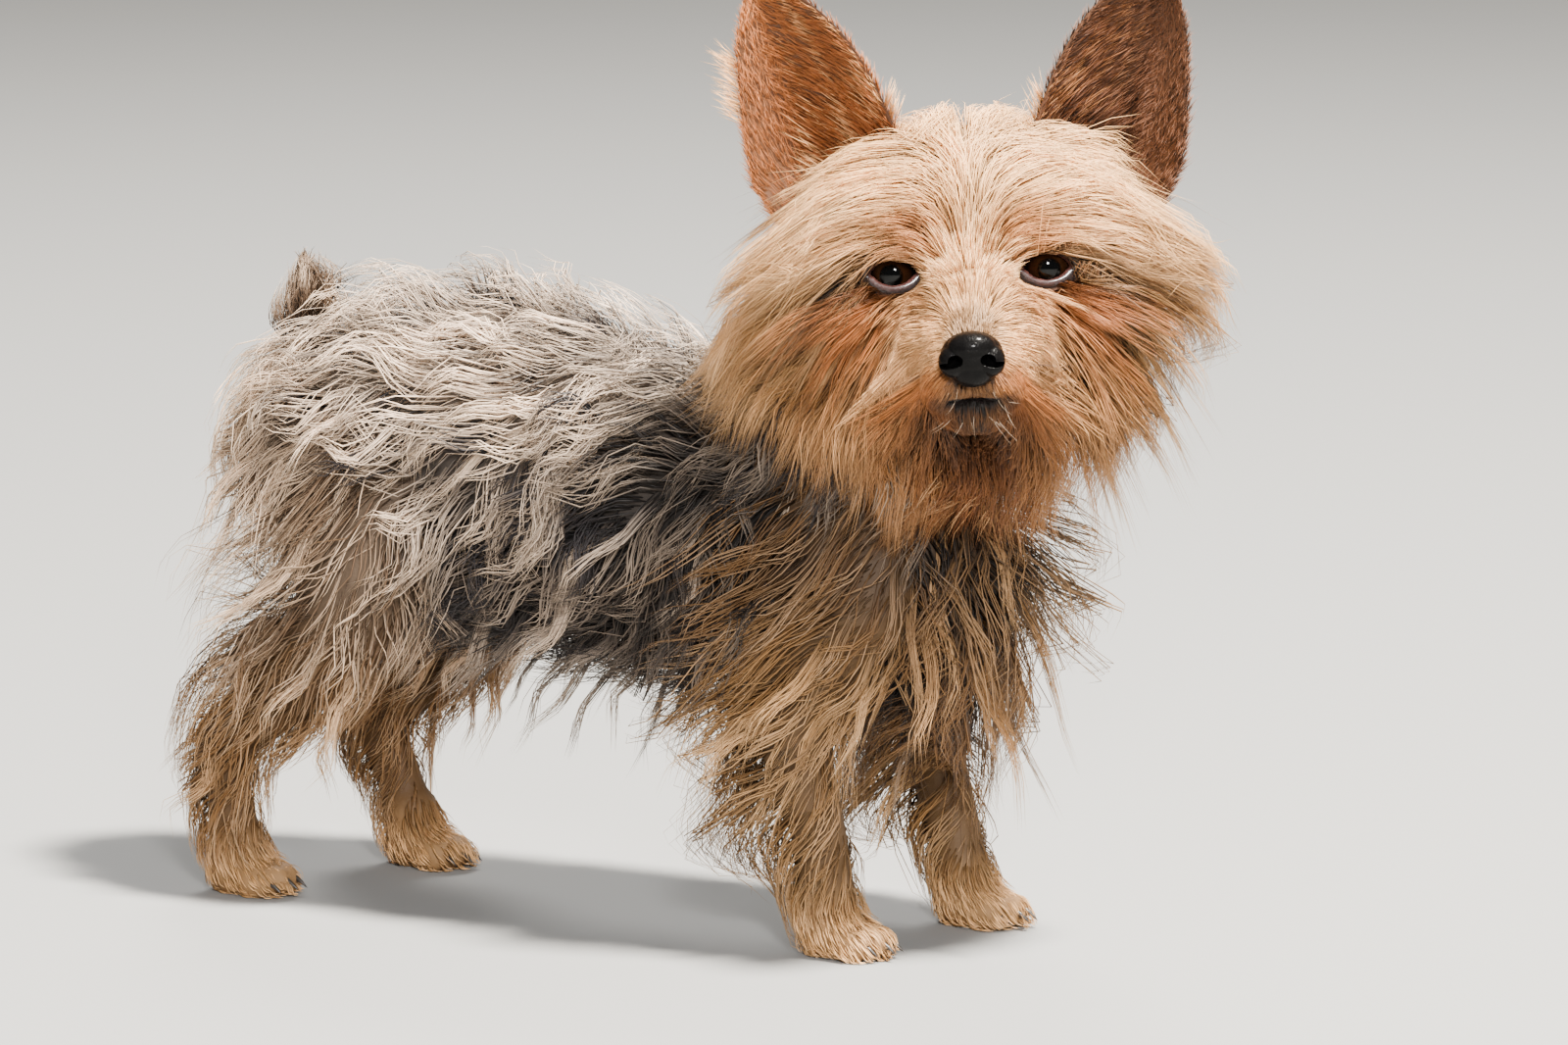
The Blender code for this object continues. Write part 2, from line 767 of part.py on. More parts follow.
def make_lips(face):
    """The edges of both lips, and what opens the line of the mouth between them."""
    lips = []
    height, depth = (value * MM for value in MOUTH_LINE)
    for lift in (1, -1):
        bm = bmesh.new()
        stations = [
            (place, out, LIP_RADIUS * (1 - 0.5 * share**2))
            for place, out, share in mouth_places(face, lift * (LIP_RADIUS + 0.2))
        ]
        add_ridge(bm, stations)
        lips.append(object_from(bm, "lip"))
    bm = bmesh.new()
    up = HEAD_FRAME.to_3x3() @ Vector((0, 0, height / 2))
    rings = [
        [bm.verts.new(place + out * reach + up * end)
         for reach, end in ((0.004, 1), (0.004, -1), (-depth, -1), (-depth, 1))]
        for place, out, _ in mouth_places(face, 0)
    ]
    for low, far in zip(rings, rings[1:]):
        for k in range(4):
            bm.faces.new((low[k], low[(k + 1) % 4], far[(k + 1) % 4], far[k]))
    bm.faces.new(rings[0])
    bm.faces.new(rings[-1])
    line = object_from(bm, "line")
    bm = bmesh.new()
    middle, _, _ = mouth_places(face, LIP_RADIUS)[MOUTH_STATIONS // 2]
    size = Matrix.Diagonal((PHILTRUM_WIDTH * MM, 2 * depth, 3 * LIP_RADIUS * MM, 1))
    turned = HEAD_FRAME.to_3x3().to_4x4()
    bmesh.ops.create_cube(bm, size=1, matrix=Matrix.Translation(middle) @ turned @ size)
    return lips, [line, object_from(bm, "philtrum")]


def make_ear(name, side, head_room):
    """A pointed cup of even wall, split alike on both faces, its foot cut to the skull."""
    base, tip = Vector(EAR_BASE), Vector(EAR_TIP)
    axis = tip - base
    length = axis.length
    axis.normalize()
    across = Vector((axis.z, 0, -axis.x)).normalized()
    back = across.cross(axis) * -1
    if back.y < 0:
        back.negate()
    bm = bmesh.new()
    layers = []
    for wall in (0, 1):
        grid = []
        for i in range(EAR_ROWS + 1):
            u = -0.16 + 1.16 * i / EAR_ROWS
            rise = max(u, 0)
            wide = EAR_HALF_WIDTH * (1 - rise**3) + 0.8
            cup = EAR_CUP * (1 - rise) ** 0.8 + 0.6
            thick = EAR_WALL * (1 - 0.4 * rise)
            row = []
            for j in range(EAR_COLUMNS + 1):
                v = 2 * j / EAR_COLUMNS - 1
                place = base + axis * length * u + across * wide * v
                place += back * (cup * (1 - v * v) + wall * thick * (1.15 - 0.4 * v * v))
                row.append(bm.verts.new(HEAD_FRAME @ point(mirrored(place, side))))
            grid.append(row)
        layers.append(grid)
    inner, outer = layers
    for i in range(EAR_ROWS):
        for j in range(EAR_COLUMNS):
            for grid in layers:
                a, b, c, d = grid[i][j], grid[i][j + 1], grid[i + 1][j + 1], grid[i + 1][j]
                bm.faces.new((a, b, c))
                bm.faces.new((a, c, d))
    rim = [(0, j) for j in range(EAR_COLUMNS)] + [(i, EAR_COLUMNS) for i in range(EAR_ROWS)]
    rim += [(EAR_ROWS, j) for j in range(EAR_COLUMNS, 0, -1)] + [(i, 0) for i in range(EAR_ROWS, 0, -1)]
    for (i, j), (k, m) in zip(rim, rim[1:] + rim[:1]):
        bm.faces.new((inner[i][j], inner[k][m], outer[k][m], outer[i][j]))
    ear = object_from(bm, name)
    carve(ear, [head_room])
    ear.data.materials.append(material("ear"))
    return ear


def make_nose(head_room):
    bm = bmesh.new()
    for centre, radii in NOSE_FORMS:
        add_ellipsoid(bm, centre, radii, HEAD_FRAME)
    nose = thinned(one_skin(object_from(bm, "nose"), 0.7, 6), 220)
    holes = []
    for side in (-1, 1):
        bm = bmesh.new()
        centre, radii = NOSTRIL
        add_ellipsoid(bm, mirrored(centre, side), radii, HEAD_FRAME, 2)
        holes.append(object_from(bm, "nostril"))
    carve(nose, [*holes, head_room])
    for hole in holes:
        bpy.data.objects.remove(hole)
    nose.data.materials.append(material("black"))
    return nose


def make_paw(name, middle):
    """A paw with four toes, flat on the floor below and flat at the wrist above."""
    bm = bmesh.new()
    frame = Matrix.Translation(point((*middle, 0)))
    for centre, radii in PAW_FORMS:
        add_ellipsoid(bm, centre, radii, frame)
    for toe in TOES:
        add_ellipsoid(bm, toe, TOE_RADII, frame)
    paw = thinned(one_skin(object_from(bm, name), 0.8, 3), 180)
    boolean(paw, "DIFFERENCE", [solids_between(-40, 0), solids_between(PAW_HEIGHT, 60)])
    keep_largest(paw)
    paw.data.materials.append(material("tan"))
    return paw


def make_claws(paw_name, paw, middle):
    """Four curved claws that stand off the toes by the gap."""
    room = inflated(paw)
    for number, (x, y, z) in enumerate(TOES, 1):
        bm = bmesh.new()
        rings = []
        for t in (0, 0.45, 0.8):
            across, high = CLAW_RADIUS * (1 - 0.5 * t), CLAW_RADIUS * (1.25 - 0.6 * t)
            centre = (middle[0] + x, middle[1] + y - 3.2 - CLAW_LENGTH * t, z + 1 - 3.2 * t * t)
            rings.append([
                bm.verts.new(point((centre[0] + across * math.cos(turn), centre[1],
                                    centre[2] + high * math.sin(turn))))
                for turn in (math.tau * k / 5 for k in range(5))
            ])
        tip = bm.verts.new(point((middle[0] + x, middle[1] + y - 3.2 - CLAW_LENGTH, z - 2.2)))
        for low, far in zip(rings, rings[1:]):
            for k in range(5):
                bm.faces.new((low[k], low[(k + 1) % 5], far[(k + 1) % 5], far[k]))
        for k in range(5):
            bm.faces.new((rings[-1][k], rings[-1][(k + 1) % 5], tip))
        bm.faces.new(rings[0])
        claw = object_from(bm, f"claw_{paw_name}_{number}")
        carve(claw, [room])
        claw.data.materials.append(material("black"))
    bpy.data.objects.remove(room)


def finish_origin():
    """Moves everything so that the box's bottom centre is the origin."""
    shown = [o for o in bpy.context.scene.objects if o.type == "MESH"]
    corners = [v.co for o in shown for v in o.data.vertices]
    low = Vector(min(c[i] for c in corners) for i in range(3))
    high = Vector(max(c[i] for c in corners) for i in range(3))
    shift = Vector((-(low.x + high.x) / 2, -(low.y + high.y) / 2, -low.z))
    for found in shown:
        found.data.transform(Matrix.Translation(shift))


def build():
    clear_scene()
    parts = {name: skin(name, *SKINS[name]) for name in SKINS}
    rooms = {name: inflated(parts[name]) for name in ("torso", "neck", "head")}
    torso_room, neck_room, head_room = rooms.values()
    carve(parts["neck"], [torso_room])
    carve(parts["head"], [torso_room, neck_room])
    carve(parts["tail"], [torso_room])
    below = solids_between(-60, PAW_HEIGHT + 0.3)
    for name, (stations, side, shift) in LEGS.items():
        carve(parts[name], [torso_room, neck_room, below])
        foot = leg_stations(stations, side, shift)[-1]
        middle = (foot[0], foot[1] - 4)
        paw_name = name.replace("leg", "paw")
        paw = make_paw(paw_name, middle)
        make_claws(paw_name, paw, middle)
    face = surface_of([parts["head"]])
    lips, mouth = make_lips(face)
    boolean(parts["head"], "UNION", [*lips, lid_ridges(face, 1), lid_ridges(face, -1)])
    boolean(parts["head"], "DIFFERENCE", mouth)
    for side, word in ((1, "left"), (-1, "right")):
        make_eye(f"eye_{word}", side)
        boolean(parts["head"], "DIFFERENCE", eye_cutters(side))
        make_ear(f"ear_{word}", side, head_room)
    make_nose(head_room)
    for spare in (torso_room, neck_room, head_room, below):
        bpy.data.objects.remove(spare)
    flesh, tips = whole(COAT_SHARE, 2), whole(1, 3)
    for seed, name in enumerate(LOCKS, 1):
        grow_locks(parts[name], seed, flesh, tips)
        colour = "steel" if name in STEEL_PARTS else "tan"
        parts[name].data.materials.append(material(colour))
    finish_origin()


build()
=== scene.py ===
import math

import bmesh
import bpy
import numpy as np
from mathutils import Matrix, Vector, noise
from mathutils.bvhtree import BVHTree


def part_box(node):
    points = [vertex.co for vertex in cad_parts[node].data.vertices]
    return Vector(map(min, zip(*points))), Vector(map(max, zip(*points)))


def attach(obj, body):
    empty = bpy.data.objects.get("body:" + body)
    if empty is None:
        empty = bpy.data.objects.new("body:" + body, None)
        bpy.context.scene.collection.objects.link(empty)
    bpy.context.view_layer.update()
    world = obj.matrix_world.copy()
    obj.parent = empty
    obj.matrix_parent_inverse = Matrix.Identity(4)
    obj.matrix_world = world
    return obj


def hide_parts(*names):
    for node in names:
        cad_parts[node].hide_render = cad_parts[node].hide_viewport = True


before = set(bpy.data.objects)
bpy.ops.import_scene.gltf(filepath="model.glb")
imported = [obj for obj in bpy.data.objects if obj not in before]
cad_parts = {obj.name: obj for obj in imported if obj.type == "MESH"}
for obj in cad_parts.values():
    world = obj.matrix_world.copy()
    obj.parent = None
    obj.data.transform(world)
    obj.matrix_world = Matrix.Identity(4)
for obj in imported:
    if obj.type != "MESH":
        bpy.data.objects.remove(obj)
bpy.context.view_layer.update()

# A small long-haired terrier as a still museum model: skin, coat, eyes, nose, lids, lips and
# claws over the solid parts. Places are in millimetres in the dog's own frame: x to its left,
# y back, z up. The head has a frame of its own, from between the eyes.

headPose = {"eyeMid": (-33, -111, 214), "turn": -64, "tilt": -2.6}
eyeShape = {"side": 23, "back": 5, "radius": 8, "half": 7.3, "rise": 4.9, "fall": 4.4}

# Trunk, neck, tail: x, y, z, half width, half height, coat depth
trunk = [(0, -88, 122, 24, 26, 12), (0, -70, 121, 36, 42, 14), (0, -40, 123, 41, 46, 13),
         (0, -6, 128, 41, 45, 16), (0, 32, 135, 38, 47, 18), (0, 72, 143, 36, 47, 20),
         (0, 106, 146, 33, 38, 20), (0, 132, 142, 29, 31, 18), (0, 144, 134, 19, 22, 16)]
neck = [(-6, -90, 202, 19, 19, 6), (-7, -86, 188, 24, 26, 13), (-4, -72, 165, 30, 32, 14),
        (0, -50, 140, 34, 36, 12)]
tail = [(0, 129, 160, 9, 9, 5), (0, 140, 177, 6, 6, 7), (0, 141, 193, 3, 3, 5)]
foreleg = [(24, -50, 140, 13, 24, 4), (34, -74, 112, 13, 18, 8), (35, -54, 86, 12, 15, 11),
           (34, -54, 60, 9.5, 10.5, 11), (32, -60, 34, 8, 8.5, 8), (31, -62, 14, 8.5, 9, 5)]
hindleg = [(20, 104, 146, 17, 28, 4), (31, 102, 116, 17, 26, 9), (36, 104, 90, 14, 18, 12),
           (35, 127, 66, 9, 12, 12), (34, 147, 46, 7, 9, 10), (33, 144, 30, 6.5, 7.5, 8),
           (32, 141, 14, 8, 9, 6)]
legs = {"front_leg_left": (foreleg, 1, -15), "front_leg_right": (foreleg, -1, 0),
        "hind_leg_left": (hindleg, 1, -18), "hind_leg_right": (hindleg, -1, 9)}
# Long hair: centre and radii of the flesh beneath, then of the tips
bib = [((0, -84, 116), (30, 18, 32), (12, -98, 103), (47, 43, 53))]
feathers = {"front": [((35, -52, 66), (9, 10, 22), (35, -29, 60), (16, 38, 38))],
            "hind": [((34, 132, 70), (9, 12, 20), (30, 144, 90), (21, 29, 46))]}
# Head: centre, radii and coat depth of each form, with muzzle and jaw in rows as the trunk is
skull = [((0, 24, 9), (33, 35, 31), 10), ((0, 21, 20), (35, 17, 21), 10), ((0, 7, 9), (26, 18, 20), 7),
         ((0, 46, -4), (26, 18, 24), 10)]
skullPairs = [((20, 3, 9), (10, 8, 6), 3), ((21, 14, -14), (16, 22, 17), 8),
              ((7.5, -19, -30), (7.5, 9, 7), 2)]
eyeSocket = (11.5, 9.6, 9.6)
muzzle = [(0, 10, -16, 20, 18, 4), (0, -10, -20, 16, 13.5, 3), (0, -20, -23.5, 12.5, 11, 2)]
jaw = [(0, 18, -30, 18, 10, 4), (0, -6, -37, 12.5, 7, 4), (0, -17, -38.5, 8.5, 5, 4)]
ruff = [((24, 20, -12), (17, 20, 22), (44, 17, -24), (35, 28, 50)),
        ((10, 10, -30), (12, 16, 12), (24, 4, -46), (25, 22, 28)),
        ((4, 14, -30), (10, 14, 10), (6, 10, -50), (18, 20, 26))]
pawForms = [((0, 2, 7), (10, 11, 9.5)), ((0, 4, 17), (8.5, 9, 9))]
toes = [(-7.2, -7.0, 4.4), (-2.6, -10.5, 5), (2.6, -10.5, 5), (7.2, -7.0, 4.4)]
toeRadii = (3.9, 7.0, 5.4)

headFrame = (Matrix.Translation(headPose["eyeMid"]) @ Matrix.Rotation(math.radians(headPose["turn"]), 4, "Z")
             @ Matrix.Rotation(math.radians(headPose["tilt"]), 4, "Y"))
headTurn = np.array(headFrame.to_3x3())
headPlace = np.array(headFrame.translation)


def toHead(places):
    return (places - headPlace) @ headTurn


def fromHead(places):
    return np.asarray(places, float) @ headTurn.T + headPlace


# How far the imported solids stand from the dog's own frame, from the right eye of both
eyeLow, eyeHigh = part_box("eye_right")
eyeRight = fromHead([-eyeShape["side"], eyeShape["back"], 0])
frameShift = np.array((eyeLow + eyeHigh) / 2) - eyeRight * 0.001


def toFrame(places):
    return np.asarray(places, float) * 0.001 + frameShift


def meshObject(name, places, faces, smooth=True):
    mesh = bpy.data.meshes.new(name)
    mesh.from_pydata([tuple(p) for p in toFrame(places)], [], faces)
    mesh.validate()
    mesh.polygons.foreach_set("use_smooth", [smooth] * len(mesh.polygons))
    made = bpy.data.objects.new(name, mesh)
    bpy.context.scene.collection.objects.link(made)
    return made


def smoothStep(low, high, values):
    t = np.clip((values - low) / (high - low), 0, 1)
    return t * t * (3 - 2 * t)


def unit(vectors):
    return vectors / np.maximum(np.linalg.norm(vectors, axis=-1, keepdims=True), 1e-9)


# Closed forms, in millimetres, that one skin is drawn over

def addEllipsoid(bm, centre, radii, detail=3, onHead=False):
    place = Matrix.Translation(centre) @ Matrix.Diagonal((*radii, 1))
    place = (headFrame if onHead else Matrix()) @ place
    bmesh.ops.create_icosphere(bm, subdivisions=detail, radius=1, matrix=place)


def smoothRows(stations, perSpan=6):
    rows, last = [], len(stations) - 1
    for i in range(last):
        a, b, c, d = (np.array(stations[min(max(k, 0), last)], float) for k in (i - 1, i, i + 1, i + 2))
        for step in range(perSpan):
            t = step / perSpan
            rows.append(0.5 * (2 * b + (c - a) * t + (2 * a - 5 * b + 4 * c - d) * t**2
                               + (3 * b - a - 3 * c + d) * t**3))
    rows.append(np.array(stations[last], float))
    return rows


def addTube(bm, stations, share, sides=24, onHead=False):
    rows = smoothRows(stations)
    centres = [Vector(row[:3]) for row in rows]
    across, rings, last = Vector((1, 0, 0)), [], len(rows) - 1
    place = headFrame if onHead else Matrix()

    def ring(centre, along, wide, high):
        side = (across - along * across.dot(along)).normalized()
        up = along.cross(side)
        turns = [math.tau * k / sides for k in range(sides)]
        rings.append([bm.verts.new(place @ (centre + side * wide * math.cos(t) + up * high * math.sin(t)))
                      for t in turns])

    for i, row in enumerate(rows):
        along = (centres[min(i + 1, last)] - centres[max(i - 1, 0)]).normalized()
        wide, high = row[3] + row[5] * share, row[4] + row[5] * share
        reach = 0.7 * min(wide, high)
        if i == 0:
            for t in map(math.radians, (75, 50, 25)):
                ring(centres[i] - along * reach * math.sin(t), along, wide * math.cos(t), high * math.cos(t))
        ring(centres[i], along, wide, high)
        if i == last:
            for t in map(math.radians, (25, 50, 75)):
                ring(centres[i] + along * reach * math.sin(t), along, wide * math.cos(t), high * math.cos(t))
    for low, far in zip(rings, rings[1:]):
        for k in range(sides):
            bm.faces.new((low[k], low[(k + 1) % sides], far[(k + 1) % sides], far[k]))
    bm.faces.new(rings[0])
    bm.faces.new(rings[-1])


def addBlends(bm, forms, share, side=1, shift=0, onHead=False):
    for centre, radii, tipCentre, tipRadii in forms:
        x, y, z = Vector(centre).lerp(Vector(tipCentre), share)
        addEllipsoid(bm, (x * side, y + shift, z), Vector(radii).lerp(Vector(tipRadii), share), onHead=onHead)


def legStations(name):
    stations, side, shift = legs[name]
    last = len(stations) - 1
    return [(x * side, y + shift * i / last, *rest) for i, (x, y, *rest) in enumerate(stations)]


def pawMiddle(name):
    foot = legStations(name)[-1]
    return foot[0], foot[1] - 4


def addPart(bm, part, share):
    if part == "head":
        for centre, radii, coat in skull:
            addEllipsoid(bm, centre, [r + coat * share for r in radii], onHead=True)
        for side in (-1, 1):
            for (x, y, z), radii, coat in skullPairs:
                addEllipsoid(bm, (x * side, y, z), [r + coat * share for r in radii], onHead=True)
            addEllipsoid(bm, (eyeShape["side"] * side, eyeShape["back"], 0), eyeSocket, onHead=True)
            addBlends(bm, ruff, share, side, onHead=True)
        addTube(bm, muzzle, share, onHead=True)
        addTube(bm, jaw, share, onHead=True)
    elif part == "torso":
        addTube(bm, trunk, share)
        addBlends(bm, bib, share)
    elif part in ("neck", "tail"):
        addTube(bm, neck if part == "neck" else tail, share)
    else:
        addTube(bm, legStations(part), share)
        addBlends(bm, feathers[part.split("_")[0]], share, legs[part][1], legs[part][2] * 0.6)


def addPaw(bm, name):
    x, y = pawMiddle(name)
    for (fx, fy, fz), radii in pawForms:
        addEllipsoid(bm, (x + fx, y + fy, fz), radii)
    for tx, ty, tz in toes:
        addEllipsoid(bm, (x + tx, y + ty, tz), toeRadii)


def solidOf(build):  # a closed solid to cut away or to join
    bm = bmesh.new()
    build(bm)
    bmesh.ops.recalc_face_normals(bm, faces=bm.faces)
    mesh = bpy.data.meshes.new("solid")
    bm.to_mesh(mesh)
    bm.free()
    made = bpy.data.objects.new("solid", mesh)
    bpy.context.scene.collection.objects.link(made)
    return made


def drawnSkin(bm, voxel, ease, cutters=(), joined=()):
    mesh = bpy.data.meshes.new("forms")
    bm.to_mesh(mesh)
    bm.free()
    forms = bpy.data.objects.new("forms", mesh)
    bpy.context.scene.collection.objects.link(forms)
    remesh = forms.modifiers.new("One skin", "REMESH")
    remesh.mode, remesh.voxel_size = "VOXEL", voxel
    soften = forms.modifiers.new("Ease", "SMOOTH")
    soften.factor, soften.iterations = 0.5, ease
    for operation, others in (("UNION", joined), ("DIFFERENCE", cutters)):
        for other in others:
            change = forms.modifiers.new(operation, "BOOLEAN")
            change.operation, change.solver, change.object = operation, "MANIFOLD", other
    drawn = forms.evaluated_get(bpy.context.evaluated_depsgraph_get()).to_mesh()
    drawn.calc_loop_triangles()
    places = np.zeros(len(drawn.vertices) * 3)
    drawn.vertices.foreach_get("co", places)
    corners = np.zeros(len(drawn.loop_triangles) * 3, np.int32)
    drawn.loop_triangles.foreach_get("vertices", corners)
    for spare in (forms, *cutters, *joined):
        bpy.data.objects.remove(spare)
    return places.reshape(-1, 3), corners.reshape(-1, 3)


def treeOf(places, triangles):
    return BVHTree.FromPolygons([tuple(p) for p in places], [tuple(t) for t in triangles.tolist()])


parts = ["head", "neck", "torso", "tail", *legs]
stretches = [*parts, "ears"]  # every stretch of skin


def wholeBody(share, voxel, withPaws=False, cutters=(), joined=()):
    bm = bmesh.new()
    for part in parts:
        addPart(bm, part, share)
    if withPaws:
        for name in legs:
            addPaw(bm, name)
    return drawnSkin(bm, voxel, 6, cutters, joined)


def almond(turn, margin=0.0):
    high = np.where(np.sin(turn) > 0, eyeShape["rise"], eyeShape["fall"]) + margin
    return (eyeShape["half"] + margin) * np.cos(turn), high * np.sin(turn) * np.abs(np.sin(turn)) ** 0.3


def eyeOpening(side, margin=1.3):
    across, high = almond(np.arange(24) * math.tau / 24, margin)

    def build(bm):
        ends = []
        for depth in (-16, eyeShape["back"] - 1):
            rim = [Vector((side * eyeShape["side"] + x, depth, z)) for x, z in zip(across, high)]
            ends.append([bm.verts.new(headFrame @ p) for p in rim])
        for k in range(24):
            bm.faces.new((ends[0][k], ends[0][(k + 1) % 24], ends[1][(k + 1) % 24], ends[1][k]))
        bm.faces.new(ends[0])
        bm.faces.new(ends[1])

    return solidOf(build)


# Ears: a cup between its foot and its tip, across from edge to edge

earShape = {"base": (40, 18, 34), "tip": (61, 19, 90), "halfWidth": 20, "cup": 10, "rows": 44, "columns": 26,
            "front": 0.35, "back": 1.9, "foot": -0.42}


def earPlace(side, rise, across, depth):
    base, tip = np.array(earShape["base"], float), np.array(earShape["tip"], float)
    axis = unit(tip - base)
    wideWay = unit(np.array([axis[2], 0, -axis[0]]))
    backWay = -np.cross(wideWay, axis)
    backWay *= math.copysign(1, backWay[1])
    rise, across, depth = (np.asarray(v, float)[..., None] for v in (rise, across, depth))
    up = np.maximum(rise, 0)
    wide = (earShape["halfWidth"] * (1 - up**3) + 0.5) * (1 - 0.5 * np.maximum(-rise, 0))
    cup = earShape["cup"] * (1 - np.minimum(up, 1)) ** 0.8 + 0.6
    foot = np.maximum(across, 0) * 5 * smoothStep(0.6, -0.1, rise)
    place = base + axis * np.linalg.norm(tip - base) * rise + wideWay * (wide * across + foot)
    place = place + backWay * (cup * (1 - across**2) + depth * (1 - 0.4 * up) * (1.15 - 0.4 * across**2))
    return fromHead(place * np.array([side, 1, 1]))


def earShell(side):
    rows, columns = earShape["rows"], earShape["columns"]
    rise = np.repeat(np.linspace(earShape["foot"], 0.99, rows + 1), columns + 1)
    across = np.tile(np.linspace(-1, 1, columns + 1), rows + 1)
    places = np.concatenate([earPlace(side, rise, across, np.full(rise.shape, earShape[end]))
                             for end in ("front", "back")])
    half, wide = len(rise), columns + 1
    faces = []
    for i in range(rows):
        for j in range(columns):
            a = i * wide + j
            quad = (a, a + 1, a + wide + 1, a + wide)
            faces += [quad, tuple(half + k for k in reversed(quad))]
    rim = ([j for j in range(columns)] + [i * wide + columns for i in range(rows)]
           + [rows * wide + j for j in range(columns, 0, -1)] + [i * wide for i in range(rows, 0, -1)])
    for a, b in zip(rim, rim[1:] + rim[:1]):
        faces.append((b, a, half + a, half + b))
    if side < 0:
        faces = [tuple(reversed(face)) for face in faces]
    return places, faces


def addShell(bm, side):
    places, faces = earShell(side)
    verts = [bm.verts.new(p) for p in places]
    for face in faces:
        bm.faces.new([verts[k] for k in face])


def earSolid(side):
    return solidOf(lambda bm: addShell(bm, side))


# What the coat does over the head, at places on its left half: how far each place counts, the way
# the hair runs, its length, and how rusty, pale, dark and steel grey it is

headMap = [
    ((0, -26, -13), 6, (0.0, 0.9, 0.4), 3.5, (0.1, 0.4, 0.45, 0.5)),
    ((0, -15, -8), 7, (0.25, 0.75, 0.65), 7, (0.15, 0.75, 0.05, 0)),
    ((0, -5, 1), 7, (0.25, 0.3, 0.95), 12, (0.05, 1.0, 0, 0)),
    ((10, -4, 9), 7, (0.45, 0.1, 0.85), 16, (0.75, 0.3, 0.3, 0)),
    ((24, -4, 13), 8, (0.95, 0.0, -0.12), 31, (0.25, 0.6, 0.05, 0)),
    ((0, -4, 22), 11, (0.5, 0.3, 0.9), 32, (0.05, 0.9, 0, 0)),
    ((17, 0, 28), 11, (0.9, 0.15, 0.1), 40, (0.0, 1.0, 0, 0)),
    ((0, 20, 42), 15, (0.6, 0.8, 0.1), 30, (0.05, 0.9, 0, 0)),
    ((26, 20, 32), 13, (0.95, 0.1, -0.28), 42, (0.05, 0.8, 0.03, 0)),
    ((36, 16, 12), 13, (0.78, 0.02, -0.72), 52, (0.15, 0.4, 0.28, 0)),
    ((27, -2, -9), 6, (0.6, 0.15, -0.75), 15, (0.95, 0.0, 0.2, 0)),
    ((12, -9, -9), 6, (0.5, 0.45, -0.6), 8, (0.55, 0.45, 0.08, 0)),
    ((13, -18, -20), 8, (0.6, 0.65, -0.35), 8, (0.3, 0.85, 0, 0)),
    ((11, -22, -30), 6, (0.6, 0.3, -0.75), 10, (0.85, 0.15, 0.3, 0)),
    ((2, -28, -33), 5, (0.3, 0.1, -0.9), 4, (0.4, 0.05, 0.95, 0)),
    # These rows darken the cheeks, the jaw and the chin: partly their own colour, partly painted shade under
    # the hair and the jaw
    ((27, 5, -20), 10, (0.4, 0.15, -0.95), 38, (0.35, 0.15, 0.6, 0)),
    ((35, 18, -12), 13, (0.5, 0.2, -0.85), 52, (0.12, 0.25, 0.55, 0)),
    ((18, 0, -38), 9, (0.2, 0.05, -1), 38, (0.5, 0.2, 0.5, 0)),
    ((0, -23, -38), 6, (0.1, -0.5, -0.9), 11, (0.5, 0, 1.0, 0)),
    ((0, -20, -43), 9, (0.15, -0.3, -1), 16, (0.7, 0, 1.0, 0)),
    ((0, 0, -42), 10, (0.1, 0.0, -1), 36, (0.8, 0.05, 0.8, 0)),
    ((0, 60, 0), 20, (0.2, 0.35, -0.9), 42, (0.2, 0.3, 0.25, 0.55)),
    ((28, 45, 0), 16, (0.35, 0.4, -0.9), 44, (0.15, 0.35, 0.3, 0.3)),
]


def readHead(places):
    onHead = toHead(places)
    half = np.abs(onHead[:, 0])
    left = np.stack([half, onHead[:, 1], onHead[:, 2]], 1)
    centres = np.array([row[0] for row in headMap], float)
    reach = np.array([row[1] for row in headMap], float)
    away = ((left[:, None, :] - centres[None]) ** 2).sum(2) / reach**2
    weights = 1 / (0.05 + away) ** 2.5
    weights /= weights.sum(1, keepdims=True)
    run = weights @ np.array([row[2] for row in headMap])
    run[:, 0] *= np.clip(onHead[:, 0] / np.where(onHead[:, 2] > 2, 16, 6), -1, 1)
    length = weights @ np.array([row[3] for row in headMap], float)
    marks = weights @ np.array([row[4] for row in headMap])
    return onHead, unit(run) @ headTurn.T, length, marks


def eyeMargin(onHead):  # how far a place is outside the opening between the lids
    x = (np.abs(onHead[..., 0]) - eyeShape["side"]) / eyeShape["half"]
    high = np.where(onHead[..., 2] > 0, eyeShape["rise"], eyeShape["fall"])
    return np.where(onHead[..., 1] < 12, (np.sqrt(x**2 + (onHead[..., 2] / high) ** 2) - 1) * 5, 50)


# What stays bare on the face: nose pad and the middle of the mouth
bareFace = {"nose": ((0, -22.2), (8.9, 7.6), -27), "mouth": ((0, -35.4), (7.5, 0.35), -12)}


def bareMargin(onHead):
    margin = eyeMargin(onHead)
    for (x, z), (wide, high), front in bareFace.values():
        away = np.sqrt(((onHead[..., 0] - x) / wide) ** 2 + ((onHead[..., 2] - z) / high) ** 2) - 1
        margin = np.minimum(margin, np.where(onHead[..., 1] < front, away * 5, 50))
    return margin


